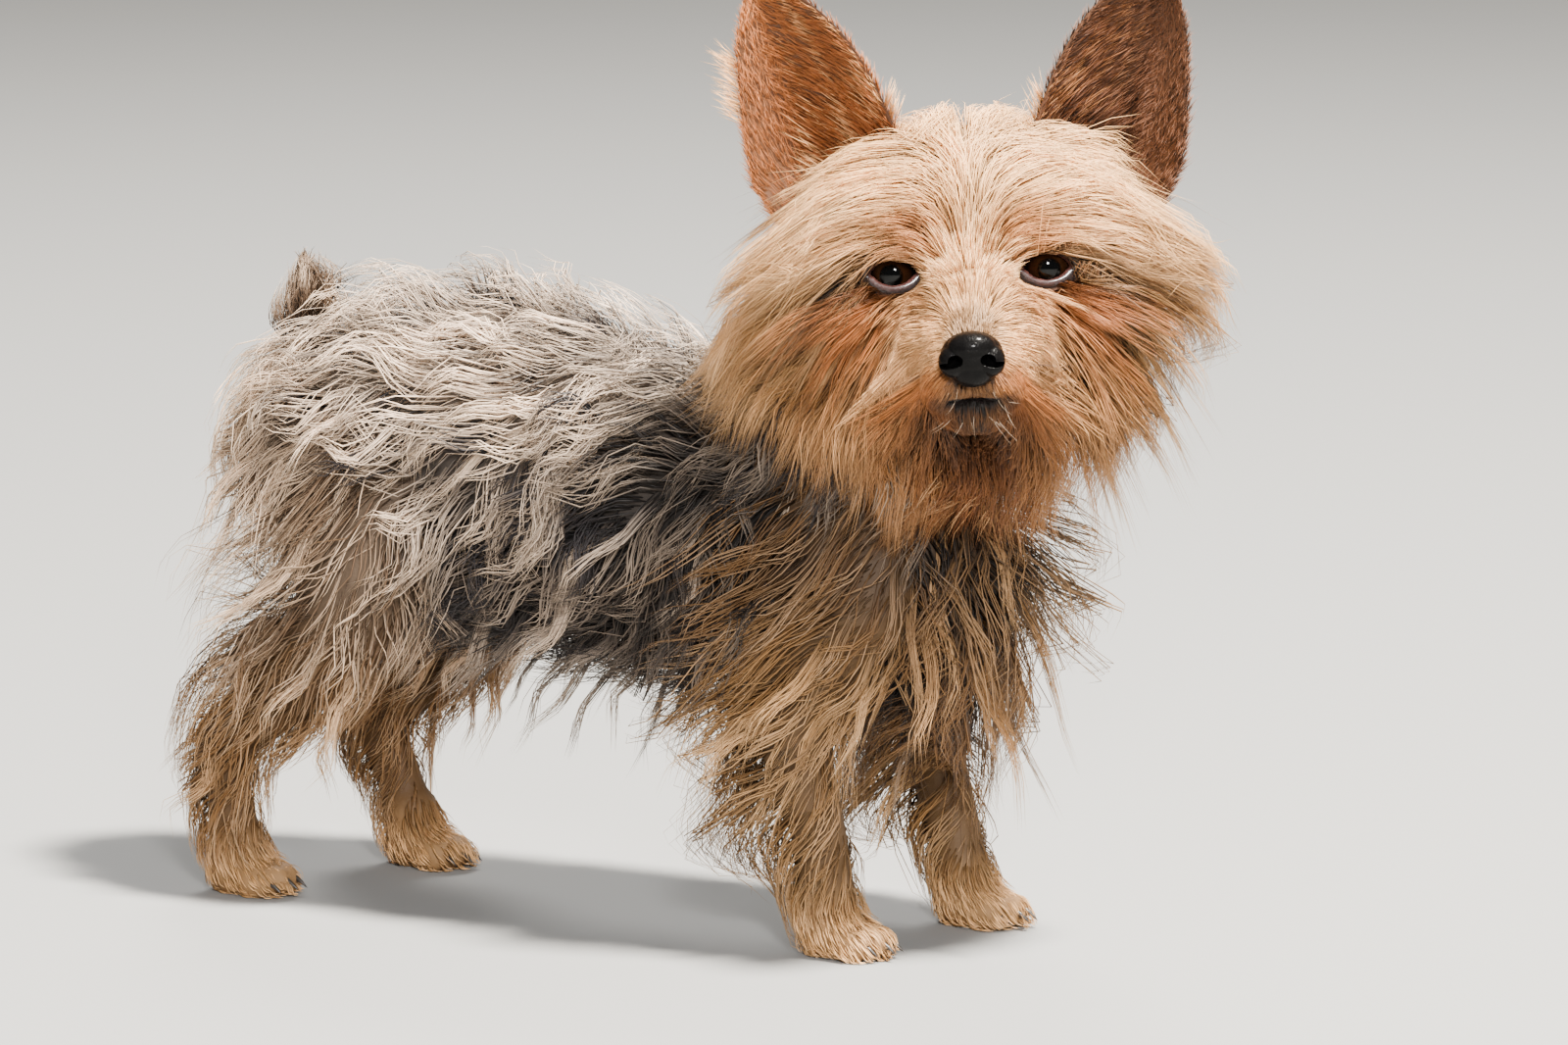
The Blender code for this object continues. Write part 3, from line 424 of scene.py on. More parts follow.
def readBody(part, places, normals):  # run, length and marks (rust, pale, dark, steel) off the head
    x, y, z = places.T
    side, up = np.clip(x / 12, -1, 1), np.maximum(normals[:, 2], 0)
    flat = np.zeros(len(x))
    if part == "torso":
        chest, rump = smoothStep(-72, -92, y), smoothStep(112, 142, y)
        back = 0.3 + 0.75 * smoothStep(-84, 70, y)
        run = np.stack([side * (0.1 + 0.5 * up), back + 0.4 * up, -1 + 0.75 * up], 1)
        run += chest[:, None] * (np.stack([side * 0.25, flat - 0.15, flat - 1], 1) - run)
        run += rump[:, None] * (np.stack([side * 0.25, flat + 0.6, flat - 0.8], 1) - run)
        length = 52 - 10 * up + 16 * chest
        # Coat colour mixed with painted light: darker low on the flanks and on the chest (partly painted
        # shade), a painted shadow of the head on the shoulder, and a paler top of the back (partly painted
        # light)
        low, shoulderShadow = smoothStep(138, 100, z), smoothStep(15, -25, y) * smoothStep(-94, -78, y)
        top = smoothStep(150, 172, z)
        steel = 1 - chest
        marks = [0.2 * chest + 0.05 * rump, 0.42 - 0.42 * low + 0.4 * top + 0.25 * rump + 0.1 * chest,
                 0.08 + 0.7 * low * steel + 0.85 * shoulderShadow - 0.4 * top * steel + 0.74 * chest + 0.1 * rump,
                 steel - 0.25 * rump]
    elif part == "neck":
        nape = smoothStep(-104, -84, y)
        run = np.stack([side * 0.15, 0.35 + 0.5 * up, -1 + 0.4 * up], 1)
        length = flat + 42
        # The neck's dark share, more on the nape, is partly painted shade under the head
        marks = [0.4 * (1 - nape), 0.25 - 0.1 * nape, 0.46 + 0.36 * nape, nape]
    elif part == "tail":
        run = np.stack([side * 0.3, flat + 0.15, flat + 1], 1)
        length = flat + 21
        marks = [flat + 0.06, flat + 0.3, flat + 0.55, flat + 0.8]
    else:
        front = part.startswith("front")
        rear = np.clip(0.6 + normals[:, 1], 0, 1)
        run = np.stack([side * 0.08, (0.7 if front else 0.45) + 0.45 * rear, flat - 1], 1)
        length = (20 + 20 * smoothStep(18, 50, z)) + (40 if front else 18) * rear * smoothStep(20, 60, z)
        # The legs' dark share is partly painted shade
        high = smoothStep(*((96, 128, z) if front else (66, 104, z)))
        marks = ([0.08 * high, 0.3 - 0.1 * high, 0.6 + 0.1 * high, 0.1 + 0.25 * high] if front else
                 [0.08 - 0.06 * high, 0.18 + 0.28 * high, 0.52 - 0.27 * high, 0.25 + 0.55 * high])
        foot = smoothStep(26, 12, z)
        outward = unit(places[:, :2] - np.array(pawMiddle(part)))
        toeRun = np.stack([outward[:, 0] * 0.25, outward[:, 1] * 0.3 - 0.5, flat - 0.8], 1)
        run += foot[:, None] * (toeRun - run)
        length += foot * (9 - length)
        marks = [m * (1 - foot) + v * foot for m, v in zip(marks, (0.08, 0.6, 0.16, 0))]
    return unit(run), length, np.clip(np.stack(marks, 1), 0, 1)


# Dark skin round the eyes and the lips: where it fades out, and how dark it is
darkSkin = {"lids": (3.4, 0.8), "lidShade": 0.85, "lips": (1.8, 0.8), "lipShade": 0.95, "lipsHigh": -34.5,
            "lipsWide": 11, "lipsDeep": 4, "lipsFront": -12}


def readCoat(part, places, normals):
    if part == "head":
        onHead, run, length, marks = readHead(places)
        lids = smoothStep(*darkSkin["lids"], eyeMargin(onHead))
        away = np.hypot(onHead[:, 0] / darkSkin["lipsWide"],
                        (onHead[:, 2] - darkSkin["lipsHigh"]) / darkSkin["lipsDeep"])
        lips = smoothStep(*darkSkin["lips"], away) * (onHead[:, 1] < darkSkin["lipsFront"])
        dark = np.maximum(lids * darkSkin["lidShade"], lips * darkSkin["lipShade"])
        marks[:, 2] = np.maximum(marks[:, 2], dark)
        return run, length, marks
    if part == "ears":
        return None, None, np.tile((0.8, 0.05, 0.6, 0.0), (len(places), 1))
    return readBody(part, places, normals)


print("skin and the envelope of the coat")
skinShape = {"voxel": 1.3, "lowest": 0.05, "tipVoxel": 3, "drawnShare": 0.85}
openings = [eyeOpening(1), eyeOpening(-1)]
skinPlaces, skinTriangles = wholeBody(0, skinShape["voxel"], True, openings, [earSolid(1), earSolid(-1)])
skinPlaces[:, 2] = np.maximum(skinPlaces[:, 2], skinShape["lowest"])
skinTree = treeOf(skinPlaces, skinTriangles)
tipTree = treeOf(*wholeBody(1, skinShape["tipVoxel"]))


def nearestPart():
    away = []
    for part in stretches:
        bm = bmesh.new()
        if part == "ears":
            addShell(bm, 1)
            addShell(bm, -1)
        else:
            addPart(bm, part, 0)
        if part in legs:
            addPaw(bm, part)
        bmesh.ops.triangulate(bm, faces=bm.faces)
        tree = BVHTree.FromBMesh(bm)
        bm.free()
        away.append([tree.find_nearest(p)[3] for p in skinPlaces.tolist()])
    return np.argmin(np.array(away), 0)


skinPart = nearestPart()
cornersOf = [skinPlaces[skinTriangles[:, k]] for k in range(3)]
skinNormals = np.cross(cornersOf[1] - cornersOf[0], cornersOf[2] - cornersOf[0])
skinAreas = np.linalg.norm(skinNormals, axis=1) / 2
pointNormals = np.zeros_like(skinPlaces)
for corner in range(3):
    np.add.at(pointNormals, skinTriangles[:, corner], skinNormals)
pointNormals = unit(pointNormals)
trianglePart = skinPart[skinTriangles[:, 0]]
print("skin", len(skinTriangles), "triangles")


def setAttribute(mesh, name, values):
    made = mesh.attributes.new(name, "FLOAT_COLOR", "POINT")
    made.data.foreach_set("color", np.asarray(values, np.float32).ravel())


def unwrap(part, places):  # across and along each part's own shape
    if part == "head":
        x, y, z = (toHead(places) - np.array([0, 18, 0])).T
        across, along = np.arctan2(x, -y) / math.tau + 0.5, np.arctan2(z, np.hypot(x, y)) / math.pi + 0.5
    elif part in legs:
        middle = pawMiddle(part)
        across = np.arctan2(places[:, 0] - middle[0], places[:, 1] - middle[1]) / math.tau + 0.5
        along = places[:, 2] / 170
    else:
        across = np.arctan2(places[:, 0], places[:, 2] - 128) / math.tau + 0.5
        along = (places[:, 1] + 130) / 310
    return np.clip(np.stack([across, along], 1), 0.002, 0.994)


# Hair: guide hairs march over the skin below the envelope of the coat's tips, and thin tapered
# strands gather round them into locks

guideSteps = 11
# How far the hair of the temples and the ruff stands off, in mm at its tips, and where it fades
templeHair = {"all": 10, "temples": 8, "high": 20, "spread": 13, "sides": (20, 38), "lowEnd": (-74, -40),
              "topEnd": (60, 44)}


def field(places, size, shift):  # smooth drift from -1 to 1 over the body
    return np.array([2 * noise.noise(Vector(p) / size + Vector((shift, 0, 0))) for p in places.tolist()])


def flareOf(part, places):
    if part != "head":
        return np.zeros(len(places))
    onHead = toHead(places)
    high = onHead[:, 2]
    away = (high - templeHair["high"]) / templeHair["spread"]
    off = templeHair["all"] + templeHair["temples"] * np.exp(-away ** 2)
    off = off * smoothStep(*templeHair["sides"], np.abs(onHead[:, 0]))
    return off * smoothStep(*templeHair["lowEnd"], high) * smoothStep(*templeHair["topEnd"], high)


def march(part, roots, normals, settings, picks):
    count = len(roots)
    run, length, _ = readCoat(part, roots, normals)
    length = length * picks.uniform(0.8, 1.15, count) * settings.get("stretch", 1)
    phase = 3.2 * field(roots, 34, 0) + picks.uniform(-0.9, 0.9, count)
    wave = np.radians(settings["wave"]) * picks.uniform(0.5, 1.3, count) * smoothStep(8, 34, length)
    swirl = settings.get("swirl", 0.1) * field(roots, 40, 9)
    swirl += picks.normal(0, settings.get("own", 0.07), count)
    swirl *= 0.25 + 0.75 * smoothStep(18, 44, length)
    layer = picks.uniform(settings.get("low", 0.7), 1, count)
    layer = np.where((roots[:, 1] < -84) & (part == "torso"), 0.6 + 0.4 * layer, layer)
    turns = settings.get("turns", 1.6) * picks.uniform(0.8, 1.2, count)
    place, facing = roots.copy(), normals.copy()
    paths, lifts = [roots - normals * 0.5], [np.zeros_like(roots)]
    for step in range(1, guideSteps + 1):
        along = step / guideSteps
        run = readCoat(part, place, facing)[0]
        outward = (run * facing).sum(1, keepdims=True)
        run = unit(run - facing * np.where(outward < 0, outward, 0.6 * outward))
        across = np.cross(run, facing)
        turn = (wave * np.cos(phase + math.tau * turns * along) + swirl)[:, None]
        place = place + (run * np.cos(turn) + across * np.sin(turn)) * (length / guideSteps)[:, None]
        rise = layer * smoothStep(-0.1, settings.get("fullAt", 0.55), along)
        flare = flareOf(part, place) * layer * along**1.5
        lifted = np.zeros_like(place)
        for i, p in enumerate(place.tolist()):
            foot, outside, _, _ = skinTree.find_nearest(p)
            above = (Vector(p) - foot).dot(outside)
            hit, exitWay, _, depth = tipTree.ray_cast(foot + outside * 0.05, outside, 40)
            if hit is None or exitWay.dot(outside) < 0:
                depth = 2.2
            target = max(depth * rise[i], 0.4) + flare[i]
            moved = Vector(p) + outside * (target - above) * (1 if above < target else 0.3)
            edge, edgeWay, _, _ = tipTree.find_nearest(moved)
            if hit is not None:
                moved -= edgeWay * max((moved - edge).dot(edgeWay) - settings.get("over", 1.5) - flare[i], 0)
            place[i], facing[i] = moved, outside
            place[i, 2] = max(place[i, 2], 1.2)
            lifted[i] = outside * min(max((moved - foot).dot(outside), 0), 22)
        paths.append(place.copy())
        lifts.append(0.5 * lifts[-1] + 0.5 * lifted)
    return np.stack(paths, 1), np.stack(lifts, 1)


def pickRoots(pool, count, picks, weights):
    chance = skinAreas[pool] * weights
    chosen = picks.choice(pool, count, p=chance / chance.sum())
    u, v = picks.random(count), picks.random(count)
    flip = u + v > 1
    u[flip], v[flip] = 1 - u[flip], 1 - v[flip]
    a, b, c = (corner[chosen] for corner in cornersOf)
    return a + (b - a) * u[:, None] + (c - a) * v[:, None], unit(skinNormals[chosen])


def spaced(places, gap):  # keeps places at least a gap apart
    cells, kept = {}, []
    for i, p in enumerate(places.tolist()):
        cell = tuple(int(v // gap) for v in p)
        near = [j for dx in (-1, 0, 1) for dy in (-1, 0, 1) for dz in (-1, 0, 1)
                for j in cells.get((cell[0] + dx, cell[1] + dy, cell[2] + dz), ())]
        if all(math.dist(p, places[j]) >= gap for j in near):
            cells.setdefault(cell, []).append(i)
            kept.append(i)
    return np.array(kept)


def along(paths, shares):  # places at shares of the way along paths
    last = paths.shape[1] - 1
    at = np.clip(shares * last, 0, last - 1e-6)
    low = at.astype(int)
    part = (at - low)[..., None]
    rows = np.arange(len(paths))[:, None]
    return paths[rows, low] * (1 - part) + paths[rows, low + 1] * part


def gather(roots, normals, lengths, guides, settings, picks):  # strands along the guides nearest to them
    guideRoots, guideNormals, paths, lifts = guides
    count, segments = len(roots), settings["segments"]
    near = np.empty((count, 3), int)
    share = np.empty((count, 3))
    for start in range(0, count, 2000):
        block = roots[start:start + 2000]
        away = ((block[:, None] - guideRoots[None]) ** 2).sum(2)
        away += 30 * (1 - normals[start:start + 2000] @ guideNormals.T) ** 2
        near[start:start + 2000] = np.argsort(away, 1)[:, :3]
        share[start:start + 2000] = 1 / (np.take_along_axis(away, near[start:start + 2000], 1) + 1)
    share /= share.sum(1, keepdims=True)
    owner = near[:, 0]
    steps = np.linspace(0, 1, segments + 1)
    shares = steps[None] * picks.uniform(0.7, 1.0, count)[:, None]
    middle, lift = along(paths[owner], shares), along(lifts[owner], shares)
    blended = np.repeat(roots[:, None], segments + 1, 1)
    for k in range(3):
        blended += (along(paths[near[:, k]], shares) - guideRoots[near[:, k], None]) * share[:, k, None, None]
    ahead = unit(np.gradient(middle, axis=1))
    facing = unit(lift + 0.01 * normals[:, None] + guideNormals[owner][:, None] * 0.5)
    facing = unit(facing - ahead * (facing * ahead).sum(2, keepdims=True))
    ways = (ahead, np.cross(ahead, facing), facing)
    offset = roots - guideRoots[owner]
    t = steps[None, :, None]
    wisp = settings.get("wisp", 1.7)  # strands close together share a finer tip
    target = middle.copy()
    for way in ways:
        own = (offset * way[:, 0]).sum(1)[:, None, None]
        target += way * (np.floor(own / wisp) + 0.5) * wisp * (1 - 0.7 * t)
    gathered = smoothStep(*settings.get("gathers", (14, 44)), lengths)[:, None, None]
    clump = settings["clump"] * gathered * picks.uniform(0.6, 1.15, (count, 1, 1))
    result = blended + (target - blended) * np.clip(clump, 0, 0.95) * smoothStep(0, 0.95, t)
    layer = 1 - settings.get("layers", 0.75) * picks.random((count, 1, 1)) ** 1.7
    result -= lift * (1 - layer) * smoothStep(0, 0.3, t)
    sway = settings.get("sway", 0.6) * picks.normal(size=(count, 1, 1))
    sway *= smoothStep(5, 30, lengths)[:, None, None]
    result += ways[1] * sway * np.sin(picks.uniform(0, math.tau, (count, 1, 1)) + 5 * t) * t
    loose = (picks.random((count, 1, 1)) < settings.get("loose", 0.05)) * picks.normal(size=(count, 1, 1))
    loose *= smoothStep(8, 34, lengths)[:, None, None]
    result += (ways[1] * loose * 4.5 + facing * np.abs(loose) * 1.8) * t**2
    result[:, 0] = roots - normals * 0.6
    result[:, :, 2] = np.maximum(result[:, :, 2], 0.5)
    return result, facing, owner, layer[:, 0, 0]


coatBox = ((-69, -183.5, 0.3), (69, 187, 322))  # what every hair of the coat stays inside


def keepClear(paths, facing, least=0.3):  # strands end before they cover an eye, the nose or the mouth
    fine = np.linspace(0, 1, 25)
    places = along(paths, np.tile(fine, (len(paths), 1)))
    clear = (bareMargin(toHead(places)) > least) & ((places > coatBox[0]) & (places < coatBox[1])).all(2)
    clear[:, :3] = True
    reach = np.where(clear.all(1), 1.0, fine[np.argmin(clear, 1) - 1])
    kept = reach > 0.3
    shares = np.linspace(0, 1, paths.shape[1])[None] * reach[:, None]
    return along(paths, shares)[kept], along(facing, shares)[kept], kept


def strandMesh(name, paths, facing, widths, rootUv, marks, tones):
    count, rings = len(paths), paths.shape[1] - 1
    steps = np.linspace(0, 1, rings + 1)
    ahead = unit(np.gradient(paths, axis=1))
    up = unit(facing - ahead * (facing * ahead).sum(2, keepdims=True))
    side = np.cross(ahead, up)
    taper = (1 - steps**2.2) * (0.6 + 0.4 * np.minimum(steps * 5, 1))
    wide = (widths[:, None] * taper[None])[..., None] / 2
    ringPlaces = np.stack([paths + side * wide, paths + up * wide * 0.8, paths - side * wide], 2)[:, :-1]
    places = np.concatenate([ringPlaces.reshape(count, -1, 3), paths[:, -1:]], 1)
    perStrand = places.shape[1]
    pattern = [(0, 1, 2)]
    for ring in range(rings - 1):
        for k in range(3):
            a, b = 3 * ring + k, 3 * ring + (k + 1) % 3
            pattern += [(a, a + 3, b + 3), (a, b + 3, b)]
    last = 3 * (rings - 1)
    pattern += [(last + k, 3 * rings, last + (k + 1) % 3) for k in range(3)]
    faces = (np.array(pattern)[None] + perStrand * np.arange(count)[:, None, None]).reshape(-1, 3)
    mesh = bpy.data.meshes.new(name)
    mesh.vertices.add(count * perStrand)
    mesh.vertices.foreach_set("co", toFrame(places.reshape(-1, 3)).astype(np.float32).ravel())
    mesh.loops.add(faces.size)
    mesh.loops.foreach_set("vertex_index", faces.astype(np.int32).ravel())
    mesh.polygons.add(len(faces))
    mesh.polygons.foreach_set("loop_start", np.arange(0, faces.size, 3, dtype=np.int32))
    mesh.polygons.foreach_set("use_smooth", np.ones(len(faces), bool))
    mesh.update()
    alongStrand = np.append(np.repeat(steps[:-1], 3), 1.0)
    around = np.append(np.tile([0, 0.5, 1.0], rings), 0.5)
    patch = 0.003 * np.stack([around, alongStrand], 1)
    uv = (rootUv[:, None] + patch[None]).reshape(-1, 2)[faces.ravel()]
    mesh.uv_layers.new(name="OFBake").data.foreach_set("uv", uv.astype(np.float32).ravel())
    strand = np.empty((count, perStrand, 4), np.float32)
    strand[..., 0] = alongStrand
    strand[..., 1:] = tones[:, None]
    setAttribute(mesh, "strand", strand)
    setAttribute(mesh, "coatMarksAndShade", np.repeat(marks[:, None], perStrand, 1))
    made = bpy.data.objects.new(name, mesh)
    bpy.context.scene.collection.objects.link(made)
    return made


# One dictionary for each stretch of coat

headHair = {"part": "head", "strands": 8200, "gap": 4.2, "segments": 4, "width": 0.38, "clump": 0.92,
            "wave": 16, "turns": 0.9, "swirl": 0.25, "own": 0.15, "low": 0.7, "gathers": (30, 46),
            "loose": 0.14, "over": 3, "shade": 0.8, "slot": "head_coat"}
bodyHair = {"part": "torso", "strands": 4700, "gap": 7.5, "segments": 5, "width": 0.56, "clump": 0.94,
            "wave": 48, "turns": 1.3, "swirl": 0.5, "own": 0.22, "low": 0.5, "wisp": 2.4, "sway": 0.5,
            "shade": 0.5, "slot": "steel_coat"}
legHair = {"strands": 2100, "gap": 5.0, "segments": 5, "width": 0.56, "clump": 0.8, "wave": 24, "turns": 1.2,
           "swirl": 0.25, "own": 0.12, "low": 0.6, "slot": "tan_coat"}
coats = {
    "faceCoat": {"part": "head", "short": True, "strands": 11000, "gap": 3.0, "segments": 3, "width": 0.32,
                 "clump": 0.5, "gathers": (10, 20), "wave": 4, "own": 0.06, "layers": 0.6, "sway": 0.2,
                 "over": 0.4, "wisp": 1.0, "shade": 0.2, "slot": "head_coat"},
    "headCoatLeft": {**headHair, "half": 1},
    "headCoatRight": {**headHair, "half": -1},
    "neckCoat": {**bodyHair, "part": "neck", "strands": 2800, "gap": 5.5, "width": 0.54, "wave": 24,
                 "shade": 0.6, "slot": "tan_coat"},
    "torsoCoatLeft": {**bodyHair, "half": 1},
    "torsoCoatRight": {**bodyHair, "half": -1},
    "frontLegCoatLeft": {**legHair, "part": "front_leg_left"},
    "frontLegCoatRight": {**legHair, "part": "front_leg_right"},
    "hindLegCoatLeft": {**legHair, "part": "hind_leg_left", "wave": 28, "slot": "steel_coat"},
    "hindLegCoatRight": {**legHair, "part": "hind_leg_right", "wave": 28, "slot": "steel_coat"},
    "tailCoat": {**legHair, "part": "tail", "strands": 600, "width": 0.42, "gap": 3.5, "over": 6, "low": 0.4,
                 "own": 0.35, "loose": 0.4, "clump": 0.7, "slot": "steel_coat"},
}


def rootWeights(settings, pool):
    part = settings["part"]
    middles = skinPlaces[skinTriangles[pool]].mean(1)
    length = readCoat(part, middles, unit(skinNormals[pool]))[1]
    weights = np.ones(len(pool))
    if part == "head":
        short = settings.get("short", False)
        weights = np.where((length < 17) == short, 18 / (6 + length) if short else 1.0, 0)
        weights *= bareMargin(toHead(middles)) > 0.4
        onHead = toHead(middles)
        weights *= 1 + 0.9 * smoothStep(38, 12, onHead[:, 1]) + (onHead[:, 2] < -34) * (onHead[:, 1] < -6)
    if part in legs:
        weights = np.where(middles[:, 2] < 1.2, 0, np.where(middles[:, 2] < 24, 2.6, 1))
    if "half" in settings:
        weights *= (toHead(middles)[:, 0] if part == "head" else middles[:, 0]) * settings["half"] > 0
    return weights


def growCoat(name, settings, seed):
    picks = np.random.default_rng(seed)
    part = settings["part"]
    pool = np.nonzero(trianglePart == parts.index(part))[0]
    weights = rootWeights(settings, pool)
    guideRoots, guideNormals = pickRoots(pool, 7000, picks, weights)
    kept = spaced(guideRoots, settings["gap"])
    guideRoots, guideNormals = guideRoots[kept], guideNormals[kept]
    paths, lifts = march(part, guideRoots, guideNormals, settings, picks)
    roots, normals = pickRoots(pool, settings["strands"], picks, weights)
    _, lengths, marks = readCoat(part, roots, normals)
    guides = (guideRoots, guideNormals, paths, lifts)
    strands, facing, owner, layer = gather(roots, normals, lengths, guides, settings, picks)
    # painted shade: the underlayer is darker
    marks[:, 2] += settings.get("shade", 0.2) * (1 - layer) * smoothStep(20, 38, lengths)
    marks = np.clip(marks, 0, 1)
    tones = np.stack([picks.random(len(roots)), picks.random(len(guideRoots))[owner], np.ones(len(roots))], 1)
    widths = settings["width"] * picks.uniform(0.65, 1.3, len(roots))
    rootUv = unwrap(part, roots)
    if part == "head":
        strands, facing, kept = keepClear(strands, facing)
        widths, rootUv, marks, tones = widths[kept], rootUv[kept], marks[kept], tones[kept]
    made = strandMesh(name, strands, facing, widths, rootUv, marks, tones)
    print(name, len(strands), "strands", len(guideRoots), "locks", len(made.data.polygons), "triangles")
    return made


# Long locks that stand off the coat at the temples, the cheeks and over the body

headLocks = {"on": ("head", "ears"), "locks": 120, "strands": 24, "gap": 4.2, "segments": 5, "width": 0.34,
             "length": (25, 40), "stand": (0.08, 0.3), "drop": 0.32, "wave": 2.2, "turns": 0.8,
             "radius": 2.4, "sway": 1.4, "paler": (0.15, 0.1), "slot": "head_coat"}
bodyLocks = {"on": ("torso", "neck", "front_leg", "hind_leg"), "locks": 95, "strands": 26, "gap": 10,
             "segments": 5, "width": 0.42, "length": (32, 50), "stand": (0.06, 0.24), "drop": 0.12,
             "wave": 6.0, "turns": 1.3, "radius": 3.4, "sway": 1.8, "paler": (0.32, 0.26),
             "slot": "steel_coat"}
lockBox = ((-67, -180, 0.8), (63, 176, 308))  # what the middles of the locks stay inside
lockCoats = {"headLocksLeft": {**headLocks, "half": 1}, "headLocksRight": {**headLocks, "half": -1},
             "bodyLocksLeft": {**bodyLocks, "half": 1}, "bodyLocksRight": {**bodyLocks, "half": -1}}


def lockWeights(settings, pool):
    middles = skinPlaces[skinTriangles[pool]].mean(1)
    if "head" in settings["on"]:
        half, back, high = (toHead(middles) * [settings["half"], 1, 1]).T
        front = ((unit(skinNormals[pool]) @ headTurn)[:, 1] < -0.45) & (half < 50)
        behind = back < 34 - 8 * smoothStep(8, 20, high)
        weights = smoothStep(19, 30, half) * behind * ((high < 12) | front)
        weights = weights * smoothStep(-46, -34, high) * smoothStep(38, 30, high)
        return weights * (0.6 + 2.4 * smoothStep(-2, 12, high))
    x, y, z = (middles * [settings["half"], 1, 1]).T
    weights = smoothStep(-2, 4, x) * smoothStep(36, 60, z) * (0.35 + 0.65 * smoothStep(180, 140, z))
    return weights * (1 + 1.5 * smoothStep(-60, -92, y) + 0.8 * smoothStep(120, 96, z))


def lockRoots(settings, picks):
    on = [k for k, stretch in enumerate(stretches) if stretch.startswith(settings["on"])]
    pool = np.nonzero(np.isin(trianglePart, on))[0]
    roots, normals = pickRoots(pool, 2500, picks, lockWeights(settings, pool) + 1e-9)
    kept = spaced(roots, settings["gap"])[:settings["locks"]]
    return roots[kept], normals[kept]


def lockLines(settings, roots, normals, run, picks):  # the middle of each lock, the ways across and out
    count = len(roots)
    length = picks.uniform(*settings["length"], (count, 1, 1))
    if "head" in settings["on"]:
        onHead = toHead(roots)
        high = onHead[:, 2]
        length *= 1 + 0.35 * smoothStep(8, -14, high)[:, None, None]
        raised = [0, 0, 0.15] * smoothStep(2, 12, high)[:, None] * smoothStep(30, 20, high)[:, None]
        run = unit(run + raised)
        normals = unit(0.4 * normals + unit(onHead - [0, 18, -4]) @ headTurn.T)
    else:
        length *= 1 + 0.3 * smoothStep(-70, -90, roots[:, 1])[:, None, None]
    stand = picks.uniform(*settings["stand"], (count, 1))
    way = unit(run + normals * stand + picks.normal(0, 0.12, (count, 3)))
    across = unit(np.cross(way, normals))
    t = np.linspace(0, 1, settings["segments"] + 1)[None, :, None]
    wave = np.sin(picks.uniform(0, math.tau, (count, 1, 1)) + math.tau * settings["turns"] * t)
    paths = roots[:, None] + length * (way[:, None] * t + np.array([0, 0, -settings["drop"]]) * t**2)
    return paths + across[:, None] * (wave * settings["wave"] * t), across, normals


def lockStrands(settings, paths, across, normals, picks):  # strands round the middles, and whose they are
    count, each = len(paths), settings["strands"]
    owner = np.repeat(np.arange(count), each)
    turn, out = picks.uniform(0, math.tau, (count * each, 1)), np.sqrt(picks.random((count * each, 1)))
    offset = (across[owner] * np.cos(turn) + normals[owner] * np.sin(turn) * 0.6) * out * settings["radius"]
    fine = np.linspace(0, 1, 25)
    place = along(paths, np.tile(fine, (count, 1)))
    within = ((place > lockBox[0]) & (place < lockBox[1])).all(2)
    within[:, 0] = True
    reach = np.where(within.all(1), 1.0, fine[np.argmin(within, 1) - 1])
    steps = np.linspace(0, 1, settings["segments"] + 1)[None]
    t = steps[..., None]
    shares = steps * picks.uniform(0.55, 1.0, (count * each, 1)) * reach[owner, None]
    strands = along(paths[owner], shares) + offset[:, None] * (1 - 0.75 * t)
    strands += across[owner, None] * picks.normal(0, settings["sway"], (count * each, 1, 1)) * t**2
    strands[:, 0] -= normals[owner] * 1.5
    return strands, owner


def growLocks(name, settings, seed):
    picks = np.random.default_rng(seed)
    roots, normals = lockRoots(settings, picks)
    onPart = trianglePart[[skinTree.find_nearest(p)[2] for p in roots.tolist()]]
    run, marks, rootUv = np.zeros_like(roots), np.zeros((len(roots), 4)), np.zeros((len(roots), 2))
    for k, stretch in enumerate(stretches):
        here = onPart == k
        if here.any():
            part = "head" if stretch == "ears" else stretch
            run[here], _, marks[here] = readCoat(part, roots[here], normals[here])
            rootUv[here] = unwrap(part, roots[here])
    paths, across, normals = lockLines(settings, roots, normals, run, picks)
    strands, owner = lockStrands(settings, paths, across, normals, picks)
    facing = np.repeat(normals[owner, None], settings["segments"] + 1, 1)
    more, less = settings["paler"]
    marks = np.clip(marks[owner] + np.array([0, more, -less, 0]), 0, 1)
    tones = np.stack([picks.random(len(owner)), picks.random(len(roots))[owner], np.ones(len(owner))], 1)
    widths = settings["width"] * picks.uniform(0.65, 1.3, len(owner))
    strands, facing, kept = keepClear(strands, facing)
    made = strandMesh(name, strands, facing, widths[kept], rootUv[owner][kept], marks[kept], tones[kept])
    print(name, len(roots), "locks", len(made.data.polygons), "triangles")
    return made


# Hair of the ears: short on the backs, long wisps from the inner edge over the cup

# The dark of its hair, of its hollow and the share of cream are by side, left 1 and right -1. The left ear's
# far greater dark and the dark deep in the hollow are painted shade
earHair = {"strands": 6200, "width": 0.25, "segments": 2, "inside": 0.55, "edges": 0.14, "wisp": 15,
           "short": 8, "edge": 5.5, "flag": 13.0, "cream": 0.24, "creamShare": {1: 0.45, -1: 1},
           "dark": {1: 0.88, -1: 0.08}, "hollowShade": {1: 0.5, -1: 0.35}}


